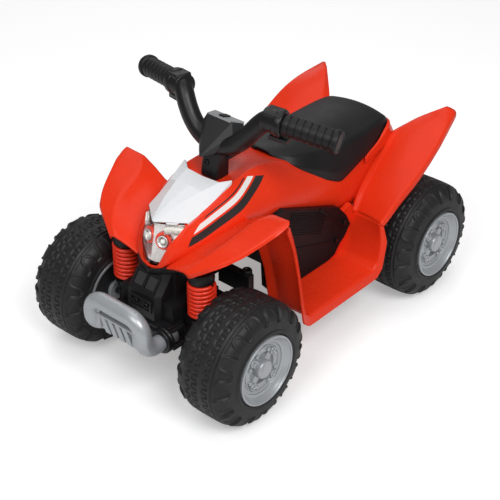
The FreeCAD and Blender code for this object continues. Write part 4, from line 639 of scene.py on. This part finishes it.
# Red lip behind the seat, from its side round to the middle
lip_rows = [
    [(85, 170, 236), (83, 215, 244), (78, 252, 250), (64, 272, 252), (32, 279, 254), (0, 280, 254)],
    [(84.5, 170, 246), (81, 215, 259), (74, 250, 275), (61, 268, 273), (31, 275, 271), (0, 276, 271)],
    [(81, 170, 246), (77, 213, 259), (70, 246, 275), (58, 264, 273), (31, 271, 271), (0, 272, 271)],
]
lip = net_piece("seat_lip", whole(lip_rows), crease_rows={1: 0.8, 2: 0.8})
dress(walled(lip, 2.0), RED, "red_body")

# Dash hood: flat facets that fan out from its lower tip
HOOD_TIP = (0, -140.5, 348)
HOOD_POINTS = [(25, -93.5, 397), (32.4, -101.2, 379), (16, -124, 353), (34, -80, 374), (31, -73, 389),
               (14, -100, 349), (26, -84, 358)]
HOOD_FLATNESS = 1.5
bm = bmesh.new()
bm.verts.new(Vector(HOOD_TIP) * MM)
for x, y, z in HOOD_POINTS:
    for side in (1, -1):
        bm.verts.new(Vector((side * x, y, z)) * MM)
bmesh.ops.convex_hull(bm, input=bm.verts)
bmesh.ops.dissolve_limit(bm, angle_limit=math.radians(HOOD_FLATNESS), verts=bm.verts, edges=bm.edges)
dash = bevelled(new_piece("dash_hood", finished(bm, "dash_hood")), 0.7, angle=FACET_ANGLE)
dress(dash, DASH, "grey_dash", "dash_cover", body="steering")


# Tyres: one eighth of the tread from a rule, then eight of them round the axle
TYRE_PROFILE = [(48.5, 57.5), (51, 58.6), (52, 62), (51.8, 70), (50.4, 79), (46.8, 88.5), (41, 95.5),
                (33, 99.6), (20, 100.8), (0, 101)]
TYRE_RADIUS = 101
TREAD_PARTS = 8
TREAD_STEPS = 64
TREAD_SPACING = 1.25
RING_GROOVE = 29.0
RING_DEPTH = 3.0
FAR_SHOULDER = -23.0
LUG_END = 31.0
LUG_SHAPES = ((0.25, 1.0, 14.0), (0.75, 6.0, 10.5))
LUG_DEPTH = 3.6
LUG_RIM = (4.5, 4.0)
LUG_SINK = 1.1
LUG_SPREAD = 0.08
LUG_EDGE = 1.3
SIDE_STEP = 1.4
SIDE_SHIFT = 0.25
BEAD_FADE = 8
NOTCHES = 5
NOTCH_LINES = ((18.0, 4.5), (-2.0, 4.5), (-15.0, 3.0))
NOTCH_DEPTH = 2.2
NOTCH_HALF = 0.7


def eased(value):
    """Smooth step from 0 to 1."""
    value = min(max(value, 0.0), 1.0)
    return value * value * (3 - 2 * value)


def rounded_profile(points, spacing):
    """Corner-cut profile, sampled at an even spacing."""
    path = [Vector(p) for p in points]
    for _ in range(3):
        cut = [path[0]]
        for low, high in zip(path, path[1:]):
            cut += [low.lerp(high, 0.25), low.lerp(high, 0.75)]
        path = cut + [path[-1]]
    spans = [(b - a).length for a, b in zip(path, path[1:])]
    count = round(sum(spans) / spacing)
    samples, run, k = [], 0.0, 0
    for step in range(count + 1):
        goal = sum(spans) * step / count
        while k < len(spans) - 1 and run + spans[k] < goal:
            run += spans[k]
            k += 1
        samples.append(path[k].lerp(path[k + 1], min((goal - run) / spans[k], 1)))
    return samples


def tongue(reach, across, tip, half):
    """1 inside a tongue with a rounded tip, open outwards, and 0 beside it."""
    along = reach - tip
    if along <= 0:
        return 0.0
    width = half * math.sqrt(1 - (1 - min(along / half, 1)) ** 2) + max(along - half, 0) * LUG_SPREAD
    return eased((width - abs(across)) / LUG_EDGE + 0.5)


def tread_depth(x, outer_reach, inner_reach, around):
    """How far the tread lies under its crown, where around runs from 0 to 1 over one eighth."""
    arc = 2 * math.pi * TYRE_RADIUS / TREAD_PARTS
    depth = RING_DEPTH * (1 - eased(abs(x - RING_GROOVE) - 0.8))
    for reach, phase in ((outer_reach, 0.0), (inner_reach, SIDE_SHIFT)):
        shoulder = eased(reach / 9 - 0.15) * (1 - eased((reach - LUG_END) / 3))
        raised, sunk = 0.0, 0.0
        for middle, tip, half in LUG_SHAPES:
            across = ((around + phase - middle + 0.5) % 1 - 0.5) * arc
            raised = max(raised, tongue(reach, across, tip, half))
            sunk = max(sunk, tongue(reach, across, tip + LUG_RIM[0], half - LUG_RIM[1]))
        depth = max(depth, shoulder * (LUG_DEPTH * (1 - raised) + LUG_SINK * sunk))
        depth += SIDE_STEP * eased((reach - LUG_END) / 2.5)
    turn = (around * NOTCHES) % 1
    corner = min(turn, abs(turn - 0.5), 1 - turn) * arc / NOTCHES
    for middle, swing in NOTCH_LINES:
        line = middle + (swing if turn < 0.5 else -swing)
        groove = 1 - eased(abs(x - line) - NOTCH_HALF)
        if abs(x - middle) < swing:
            groove = max(groove, 1 - eased(corner - NOTCH_HALF))
        depth = max(depth, NOTCH_DEPTH * groove)
    return depth


def tyre_part():
    """One part of the tyre's skin about the wheel's own centre."""
    far_half = [(-x, r) for x, r in reversed(TYRE_PROFILE[:-1])]
    samples = rounded_profile(TYRE_PROFILE + far_half, TREAD_SPACING)
    count = len(samples)
    runs = [0.0]
    for a, b in zip(samples, samples[1:]):
        runs.append(runs[-1] + (b - a).length)
    ring_run = next(run for spot, run in zip(samples, runs) if spot.x < RING_GROOVE)
    far_run = next(run for spot, run in zip(samples, runs) if spot.x < FAR_SHOULDER)
    bm = bmesh.new()
    rows = []
    for step in range(TREAD_STEPS + 1):
        angle = 2 * math.pi * step / TREAD_STEPS / TREAD_PARTS
        row = []
        for i, spot in enumerate(samples):
            ahead = samples[min(i + 1, count - 1)] - samples[max(i - 1, 0)]
            normal = Vector((-ahead.y, ahead.x)).normalized()
            if normal.y < 0:
                normal = -normal
            depth = tread_depth(spot.x, ring_run - runs[i], runs[i] - far_run, step / TREAD_STEPS % 1)
            low = spot - normal * depth * eased(min(runs[i], runs[-1] - runs[i]) / BEAD_FADE - 0.5)
            turned = Vector((low.x, low.y * math.cos(angle), low.y * math.sin(angle)))
            row.append(bm.verts.new(turned * MM))
        rows.append(row)
    grid_faces(bm, rows, close_columns=True)
    return finished(bm, "tyre_part", outward=False)


# Rims and hub caps, drawn for the left side, outer face towards +X
RIM_PROFILE = [(48, 57.3), (53.2, 57.3), (54, 56.5), (54, 54.8), (53.3, 54), (51.4, 53.6), (50.8, 52.8),
               (49.6, 51.8), (45, 47.4), (44.4, 46.4), (44.4, 43.6), (44, 43), (42, 42.6), (41.6, 42),
               (41.6, 38.6), (42, 38.2), (43.2, 38), (43.6, 37.4), (43.6, 36.6), (43.2, 36), (41.6, 35.8),
               (41.4, 27), (37, 26.4), (37, 6.4), (-51.5, 6.4), (-51.5, 16.6), (31, 17), (31.5, 45),
               (28, 48.6), (-51, 52.6), (-51.5, 57.3)]
CAP_PROFILE = [(36.5, 0), (36.5, 15.4), (46.6, 15.4), (48.6, 14.8), (49.7, 13.6), (50, 12.4), (50, 11.6),
               (49.6, 11), (49.6, 0)]
BOSS_PROFILE = [(36, 0), (36, 6.4), (45.4, 6.2), (46, 5.6), (46, 4.3), (45.4, 3.8), (43.6, 3.6), (43.6, 0)]
STUD_PROFILE = [(36, 0), (36, 3.4), (44.4, 3.3), (45, 2.6), (45, 0)]
BACK_PROFILE = [(-46, 16.8), (-46, 30), (-44, 34), (-44, 56), (-40, 56), (-40, 16.8)]
CLUSTERS = 4
WHEELS = (("front", -225, 157.5), ("rear", 225, 153.5))


def wheel_meshes():
    """Tyre, rim and cap about the wheel's own centre."""
    tyre = joined(ring(tyre_part(), TREAD_PARTS, TYRE))
    boss = placed(lathe(BOSS_PROFILE, 24), shift(0, 0, 31))
    stud = lathe(STUD_PROFILE, 16)
    studs = [placed(stud, shift(0, y, 29)) for y in (-11, 11)]
    web = slab((36, -6, 14), (42.2, 6, 30))
    cluster = placed(joined(boss, *studs, web), Matrix.Rotation(math.pi / 4, 4, "X"))
    rim = joined(lathe(RIM_PROFILE, 96), ring(cluster, CLUSTERS, SILVER))
    return tyre, rim, lathe(CAP_PROFILE, 48)


tyre_mesh, rim_mesh, cap_mesh = wheel_meshes()
back_mesh = lathe(BACK_PROFILE, 64)
for end, y, x in WHEELS:
    for hand, side in HANDS:
        spot = shift(side * x, y, TYRE_RADIUS)
        wheel = "wheel_" + end[0] + hand[0]
        place = "_%s_%s" % (end, hand)
        tread = new_piece("tread" + place, placed(tyre_mesh, spot))
        dress(tread, TYRE, "tyre_plastic", "tyre" + place, body=wheel)
        dish = new_piece("dish" + place, placed(sided(rim_mesh, side), spot))
        dress(bevelled(dish, 0.5), SILVER, "silver_plastic", "rim" + place, body=wheel)
        if end == "front":
            plate = new_piece("wheel_back" + place, placed(sided(back_mesh, side), spot))
            dress(bevelled(plate, 0.6), TYRE, "tyre_plastic", body=wheel)
        cap = new_piece("cap" + place, placed(sided(cap_mesh, side), spot))
        dress(bevelled(cap, 0.4), SILVER, "silver_plastic", "hub_cap" + place, body=wheel)

# Grips: seven bands between grooves, then the end flange
BAR_TIP = Vector((191, -52, 407))
BAR_CORNER = Vector((72, -86, 421.1))
GRIP_LENGTH = 84.0
GRIP_BANDS = 7
BANDED_LENGTH = 77.0
grip_profile = [(0.4, 0), (0.4, 15.4), (1.2, 16.2)]
band = BANDED_LENGTH / GRIP_BANDS
for number in range(GRIP_BANDS):
    start = number * band
    end = start + band
    grip_profile += [(start + 1.6, 16.3), (start + band / 2, 16.7), (end - 1.2, 16.3), (end - 0.7, 15.1),
                     (end + 0.5, 15.1), (end + 1.0, 16.3)]
grip_profile += [(78.8, 17.8), (80.5, 18.3), (85.5, 18.2), (88, 17.2), (88.9, 15.6), (88.6, 14.4),
                 (87.6, 13.6), (87.6, 0)]
bar_along = (BAR_TIP - BAR_CORNER).normalized()
grip_mesh = placed(lathe(grip_profile, 64), frame_matrix(BAR_TIP - bar_along * GRIP_LENGTH, bar_along))
for hand, side in HANDS:
    piece = bevelled(new_piece("ribbed_grip_" + hand, sided(grip_mesh, side)), 0.3)
    dress(piece, GRIP, "black_grip", "grip_" + hand, body="steering")

# Coil springs on their sleeves
SPRING_TURNS = 8
TURN_STEPS = 28
SPRING_X, SPRING_Y = 80, -225
SPRING_RADIUS = 19.6
SPRING_FOOT = 143
SPRING_RISE = 58.5
WIRE_RADIUS = 3.0
coil = []
for step in range(SPRING_TURNS * TURN_STEPS + 1):
    angle = 2 * math.pi * step / TURN_STEPS
    coil.append((SPRING_X + SPRING_RADIUS * math.cos(angle), SPRING_Y + SPRING_RADIUS * math.sin(angle),
                 SPRING_FOOT + SPRING_RISE * step / SPRING_TURNS / TURN_STEPS))
springs = new_piece("coil_springs", both_sides(tube(coil, WIRE_RADIUS)))
dress(springs, SPRING, "red_spring", "shock_springs")

# Cap and cup at the ends of each sleeve
UPRIGHT = Matrix.Rotation(-math.pi / 2, 4, "Y")
seat_cap = lathe([(203.5, 13.2), (203.5, 19), (205, 20), (212, 20.5), (220, 17), (220, 9.2), (212, 9.2),
                  (212, 13.2)], 40)
seat_cup = lathe([(120, 15), (124, 17.5), (136.5, 20.5), (139.6, 20.5), (139.6, 13.2), (120, 13.2)], 40)
ends = placed(joined(seat_cap, seat_cup), shift(SPRING_X, SPRING_Y, 0) @ UPRIGHT)
seats = bevelled(new_piece("spring_seats", both_sides(ends)), 0.6)
dress(seats, BLACK, "shock_black")

# CAD nodes that keep their shape and take a finish
KEPT_SHAPES = (
    (BLACK, ("steering_bush", "battery_strap", "charge_socket", "shock_tubes", "direction_rocker")),
    (FRAME, ("tie_rod", "knuckle_left", "knuckle_right", "panel_screws")),
    (STEEL, ("steering_column", "rear_axle", "rear_axle_nuts", "front_axle_nut_left", "front_axle_nut_right",
             "drive_motor")),
    (NATURAL, ("wheel_gear", "motor_pinion")),
    (CELL, ("battery",)),
    (PLATE, ("dash_panel",)),
)
for finish, names in KEPT_SHAPES:
    for name in names:
        nodes[name].data.materials.clear()
        nodes[name].data.materials.append(finish)

# CAD nodes whose edges are rounded
SOFT_EDGES = (
    ("chassis_frame", 1.2, FRAME, "chassis", "black_frame"),
    ("gear_case", 0.8, FRAME, "chassis", "black_frame"),
    ("throttle_lever", 4.5, BAR, "throttle", "black_switch"),
    ("horn_lever", 4.5, BAR, "horn", "black_switch"),
)
for source, width, finish, body_name, slot in SOFT_EDGES:
    dress(softened("round_" + source, source, width), finish, slot, source, body=body_name)

# Side panels: a sunk field inside a rim, fine ribs at the top and two ridges
PANEL_OUTLINE = [(-52, 253), (84, 195.5), (106, 171), (118, 149), (104, 130), (92, 122), (78, 106),
                 (62, 102.5), (-70, 102.5), (-88, 124), (-91, 170), (-88, 215), (-72, 249)]
PANEL_RIM = 3.4
PANEL_SINK = 1.6
panel_mesh = prism(PANEL_OUTLINE, 80, 97.6)
bm = bmesh.new()
bm.from_mesh(panel_mesh)
outer = max(bm.faces, key=lambda face: face.calc_center_median().x)
bmesh.ops.inset_region(bm, faces=[outer], thickness=PANEL_RIM * MM, depth=-PANEL_SINK * MM)
bm.to_mesh(panel_mesh)
bm.free()
PANEL_RIBS = 12
rib = bar_between((-34, 237), (54, 198), 1.3, 95, 97.1)
ribs = repeated(rib, PANEL_RIBS, PANEL, step=(0, -1.2, -3.0))
ridges = [bar_between((36, 212), (100, 152), 5.0, 95, 98.0),
          bar_between((-70, 184), (66, 136), 4.0, 95, 97.6)]
for hand, side in HANDS:
    piece = bevelled(new_piece("side_panel_" + hand, sided(panel_mesh, side)), 0.9, BLOCK_ANGLE)
    dress(piece, PANEL, "black_body", "engine_panel_" + hand)
    details = joined(ribs, *(rounded(ridge, 0.8) for ridge in ridges))
    dress(new_piece("panel_ribs_" + hand, sided(details, side), flat=True), PANEL, "black_body")

# Red strip between each panel's stepped edge and the rear wall
STRIP_OUTLINE = [(60, 98), (104, 98), (118, 130), (134, 168), (120, 186), (92, 178), (76, 140)]
strip = rounded(prism(STRIP_OUTLINE, 86, 94.8), 1.0)
for hand, side in HANDS:
    dress(new_piece("foot_strip_" + hand, sided(strip, side)), RED, "red_body")

# Headlight: bulging lens, bright bowl, and on each side a round lamp in a red surround and a row of ribs
lens_rows = [
    [(16, -249, 218), (8, -253, 216.5), (0, -254, 216)],
    [(25, -247, 235), (14, -255, 234), (0, -258, 233)],
    [(32, -240, 251), (18, -253, 252), (0, -258, 253)],
    [(37, -224, 266), (21, -245, 268), (0, -253, 270)],
    [(39.5, -211, 277), (22, -232, 279), (0, -247, 281)],
]
lens = net_piece("lamp_lens", whole(lens_rows), flip=True)
dress(walled(lens, 1.5), LENS, "clear_lens", "headlight_lens")
bowl_rows = [
    [(15, -246, 219), (8, -249, 218), (0, -250, 218)],
    [(22, -238, 236), (11, -239, 236), (0, -247, 235)],
    [(27, -231, 251), (14, -231, 251), (0, -243, 252)],
    [(33, -217, 265), (17, -226, 265), (0, -240, 268)],
    [(37, -207, 275), (20, -224, 276), (0, -240, 278)],
]
bowl = net_piece("lamp_bowl", whole(bowl_rows), flip=True, crease_columns={2: 0.5})
dress(walled(bowl, 1.5), CHROME, "bright_reflector", "headlight_reflector")
LAMP = frame_matrix((14, -235, 251), (0.25, -0.94, 0.2))
lamp_dome = placed(lathe([(-2, 0), (-2, 4.4), (3, 4.2), (5.4, 3.2), (6.6, 1.6), (7, 0)], 32), LAMP)
lamp_ring = placed(lathe([(-2, 4.5), (-2, 8.6), (5, 9.4), (6, 9), (6, 8.2), (2, 5.4)], 40), LAMP)
surround = lathe([(-3, 9.6), (-3, 13), (2.6, 13.4), (3.4, 12.8), (3.4, 10.4), (2.6, 9.6)], 40)
LAMP_RIBS = 8
lamp_rib = slab((35.4, -221, 263), (36.4, -212, 274))
lamp_ribs = repeated(lamp_rib, LAMP_RIBS, BULB, step=(-2.3, -2.5, 0.4))
dress(new_piece("lamp_surrounds", both_sides(placed(surround, LAMP))), RED, "red_body")
dress(new_piece("lamp_domes", both_sides(lamp_dome)), BULB, "bulb_glass", "headlight_bulbs")
dress(new_piece("lamp_rings", both_sides(lamp_ring)), CHROME, "bright_reflector")
dress(new_piece("lamp_ribs", both_sides(lamp_ribs)), BULB, "bright_reflector")

# Nose block under the lamp: sections from the foot up, a pane frame, a lower recess and two ring holes
BLOCK_SECTIONS = [(127, 29, -277), (140, 28.5, -276.5), (171, 27.5, -273.5), (174, 26.6, -271),
                  (197.5, 24, -252.6), (207, 24, -248)]
BLOCK_HALF_WIDTH = 34
BLOCK_BACK = -238
BLOCK_CHAMFER = 9
PANE_LEAN = math.atan2(18.4, 23.1)
bm = bmesh.new()
levels = []
for z, wide, front in BLOCK_SECTIONS:
    half = [(wide, front), (BLOCK_HALF_WIDTH, front + BLOCK_CHAMFER), (BLOCK_HALF_WIDTH, BLOCK_BACK)]
    loop = half + [(-x, y) for x, y in reversed(half)]
    levels.append([bm.verts.new(Vector((x, y, z)) * MM) for x, y in loop])
grid_faces(bm, levels, close_columns=True)
bm.faces.new(levels[0])
bm.faces.new(levels[-1])
nose_block = rounded(finished(bm, "nose_block"), 1.4)
PANE = shift(0, -271, 174.4) @ Matrix.Rotation(PANE_LEAN, 4, "X").inverted()
pane_bars = [slab((-25, -2.0, low), (25, 2, high)) for low, high in ((0, 3), (26, 29))]
pane_bars += [slab((x - 1.5, -2.0, 1), (x + 1.5, 2, 28)) for x in (-23.5, 0, 23.5)]
panes = placed(joined(*(rounded(bar, 0.6) for bar in pane_bars)), PANE)
recess_bars = [slab((-22, -277.5, low), (22, -272, high)) for low, high in ((142, 145.5), (160, 163.5))]
recess_bars += [slab((x - 2, -277.5, 143), (x + 2, -272, 163)) for x in (-21, 21)]
ring_hole = lathe([(-2, 3.2), (-2, 5.4), (2.6, 5.4), (3.2, 4.8), (3.2, 3.8), (2.6, 3.2)], 24)
ring_holes = [placed(ring_hole, frame_matrix((x, -275, 152.5), (0, -1, 0))) for x in (-10.7, 10.7)]
block_parts = joined(nose_block, panes, *(rounded(bar, 0.8) for bar in recess_bars), *ring_holes)
dress(new_piece("nose_block", block_parts), BLACK, "black_body", "front_grille")
pane = rounded(slab((3.4, -1.0, 4.4), (20.6, 1.5, 24.6)), 0.4)
dress(new_piece("nose_panes", placed(both_sides(pane), PANE)), PANE_GREY, "black_body")

# Dark collar under the nose, and the rounded foot of the block with the hoop's two sockets
collar_rows = [
    [(62, -222, 228), (42, -238, 222), (24, -250, 215), (0, -255, 206)],
    [(60, -219, 206), (40, -236, 206), (23, -248, 203), (0, -254, 197)],
]
collar = net_piece("nose_collar", whole(collar_rows), flip=True, crease_columns={3: 0.6})
dress(walled(collar, 3.0, levels=2, rim=0.8), BLACK, "black_body")
foot = rounded(slab((-62, -284, 92), (62, -240, 126)), 7.0, segments=4)
step = rounded(slab((-56, -281, 120), (56, -240, 129)), 2.5)
socket = lathe([(0, 13.6), (0, 19), (2, 20.4), (5, 20.4), (6, 19.4), (8, 19.4), (9, 20.4), (12, 20.4),
                (14, 19), (14, 13.6)], 40)
sockets = [placed(socket, frame_matrix((x, -276, 112), (0, -1, 0))) for x in (-52, 52)]
dress(new_piece("block_foot", joined(foot, step, *sockets)), BLACK, "black_body")

# Bumper: hoop, field, slanted slats under a rail and a cheek at each end
HOOP_RADIUS = 13.5
HOOP_BEND = 26.0
HOOP_CORNERS = [(52, -262, 112), (54, -326, 112), (55, -326, 168)]
corners = HOOP_CORNERS + [(-x, y, z) for x, y, z in reversed(HOOP_CORNERS)]
hoop = tube(rounded_path(corners, HOOP_BEND), HOOP_RADIUS, 28)
field = rounded(slab((-46, -326, 116), (46, -321, 162)), 1.2)
SLATS = 4
SLAT_LEAN = 0.5
SLAT_MIDDLE = 130
slat = prism([(-330.5, 117), (-324, 117), (-324, 144), (-330.5, 144)], -5.2, 5.2)
lean = Matrix.Identity(4)
lean[0][2] = -SLAT_LEAN
lean[0][3] = SLAT_LEAN * SLAT_MIDDLE * MM
slat.transform(lean)
slats = placed(repeated(rounded(slat, 0.9), SLATS, SILVER, step=(15.5, 0, 0)), shift(-23.2, 0, 0))
rail = rounded(slab((-44, -332.5, 143), (44, -324, 146.5)), 1.0)
cheek = rounded(slab((34, -331, 117), (46, -321, 160)), 3.0, segments=3)
bumper = joined(hoop, field, slats, rail, cheek, sided(cheek, -1))
dress(new_piece("bumper_hoop", bumper), SILVER, "silver_plastic", "front_bumper")

# Handlebar in one smooth bend, with its post, the bracket on the post and two switch drums
BAR_POINTS = [(0, -104, 357), (18, -103, 359), (37, -100.5, 367), (53, -98, 381), (66, -94, 397),
              (76, -89, 410), (86, -84, 418.5), (99, -79, 419.5), (114, -74, 416), (191, -52, 407)]
BAR_RADIUS = 15.0
DRUM_LENGTH = 33.0
full_bar = [(-x, y, z) for x, y, z in reversed(BAR_POINTS[1:])] + BAR_POINTS
bent_bar = new_piece("bent_bar", tube(smooth_path(full_bar), BAR_RADIUS, 24))
dress(bent_bar, BAR, "black_bar", "handlebar", body="steering")
post_mesh = prism([(-124, 303), (-90, 296), (-88, 352), (-116, 352)], -17, 17)
screw = lathe([(-3, 2.6), (-3, 5.0), (1.0, 5.0), (1.6, 4.4), (1.6, 3.2), (1.0, 2.6)], 24)
screw = placed(screw, frame_matrix((-5, -120.5, 329), (0, -1, 0.15)))
post = new_piece("rounded_post", joined(rounded(post_mesh, 7.0, segments=4), screw))
dress(post, BLACK, "black_bar", "steering_post", body="steering")
bracket = rounded(slab((-21, -100, 331), (21, -52, 341)), 4.8, segments=4)
eye = lathe([(0, 4), (0, 8), (1.6, 7.4), (1.6, 4.6)], 24)
eye = placed(eye, frame_matrix((10, -64, 340.6), (0, 0, 1), (0, 1, 0)))
dress(new_piece("post_bracket", joined(bracket, eye)), BLACK, "black_bar", body="steering")
drum = lathe([(0, 0), (0, 17), (1.5, 18.2), (18, 18.6), (20, 19.6), (21, 20.8), (31, 21.2), (33, 19.6),
              (33, 0)], 48)
lid = rounded(slab((2, -14, 6), (31, 14, 18.4)), 3.0, segments=4)
drum = placed(joined(drum, lid), frame_matrix(BAR_TIP - bar_along * (GRIP_LENGTH + DRUM_LENGTH), bar_along))
for hand, side in HANDS:
    piece = bevelled(new_piece("switch_drum_" + hand, sided(drum, side)), 0.8)
    dress(piece, BAR, "black_switch", "switch_collar_" + hand, body="steering")

# Bosses at the ends of the outriggers
boss_ring = lathe([(158, 4), (158, 9), (167, 8.4), (169, 7), (169, 5), (165, 4)], 32)
boss_rings = both_sides(placed(boss_ring, shift(77, -119.5, 0) @ UPRIGHT))
dress(new_piece("outrigger_bosses", boss_rings), FRAME, "black_frame")


# Studio
FLOOR_SIZE = 30
FLOOR_GLOW = 0.33
WORLD_LIGHT = 0.22
LIGHT_AIM = Vector((0, 0, 0.15))
SOFTBOXES = (
    ("key_softbox", (0.4, -2.2, 2.6), 1.6, 32), ("left_softbox", (2.1, -1.0, 2.6), 1.4, 58),
    ("top_softbox", (-0.4, 0.4, 3.0), 2.2, 18), ("back_softbox", (-1.8, 1.6, 1.8), 1.4, 7),
)


def seen_rays(tree):
    """Rays from the camera, straight or through clear plastic."""
    path = node(tree, "ShaderNodeLightPath").outputs
    return math_node(tree, "MAXIMUM", path["Is Camera Ray"], path["Is Transmission Ray"])


def studio():
    """White floor and backdrop, and four soft lights."""
    bm = bmesh.new()
    bmesh.ops.create_grid(bm, x_segments=1, y_segments=1, size=FLOOR_SIZE)
    floor = new_piece("studio_floor", finished(bm, "studio_floor", outward=False))
    material = bpy.data.materials.new("floor_white")
    material.use_nodes = True
    tree = material.node_tree
    surface = tree.nodes["Principled BSDF"]
    set_values(surface, Base_Color=(0.86, 0.86, 0.86, 1), Roughness=0.9, Specular_IOR_Level=0.1)
    seen = seen_rays(tree)
    lit = node(tree, "ShaderNodeEmission", Color=(1, 1, 1, 1), Strength=FLOOR_GLOW)
    both = node(tree, "ShaderNodeAddShader", {0: surface.outputs[0], 1: lit.outputs[0]})
    mix = node(tree, "ShaderNodeMixShader", {0: seen, 1: surface.outputs[0], 2: both.outputs[0]})
    tree.links.new(mix.outputs[0], tree.nodes["Material Output"].inputs["Surface"])
    floor.data.materials.append(material)
    world = bpy.data.worlds.new("studio_world")
    scene.world = world
    world.use_nodes = True
    tree = world.node_tree
    plain = tree.nodes["Background"]
    set_values(plain, Color=(1, 1, 1, 1), Strength=WORLD_LIGHT)
    shown = node(tree, "ShaderNodeBackground", Color=(1, 1, 1, 1), Strength=1.0)
    mix = node(tree, "ShaderNodeMixShader", {0: seen_rays(tree), 1: plain.outputs[0], 2: shown.outputs[0]})
    tree.links.new(mix.outputs[0], tree.nodes["World Output"].inputs["Surface"])
    for name, place, size, power in SOFTBOXES:
        data = bpy.data.lights.new(name, "AREA")
        data.size = size
        data.energy = power
        lamp = bpy.data.objects.new(name, data)
        scene.collection.objects.link(lamp)
        lamp.location = place
        lamp.rotation_euler = (LIGHT_AIM - Vector(place)).to_track_quat("-Z", "Y").to_euler()


studio()

# Camera at the photo's angle
SENSOR_WIDTH = 36
FOCAL_LENGTH = 94.54
CAMERA_TURN = math.radians(41.2753)
CAMERA_TILT = math.radians(33.5035)
CAMERA_PLACE = Vector((1.1918, -1.3823, 1.3197))
data = bpy.data.cameras.new("photo_camera")
data.sensor_width = SENSOR_WIDTH
data.lens = FOCAL_LENGTH
data.clip_end = 100
camera = bpy.data.objects.new("photo_camera", data)
scene.collection.objects.link(camera)
level = math.cos(CAMERA_TILT)
back = Vector((math.sin(CAMERA_TURN) * level, -math.cos(CAMERA_TURN) * level, math.sin(CAMERA_TILT)))
right = Vector((math.cos(CAMERA_TURN), math.sin(CAMERA_TURN), 0))
up = back.cross(right)
camera.matrix_world = Matrix((right, up, back)).transposed().to_4x4()
camera.location = CAMERA_PLACE
scene.camera = camera
scene.view_settings.view_transform = "Standard"
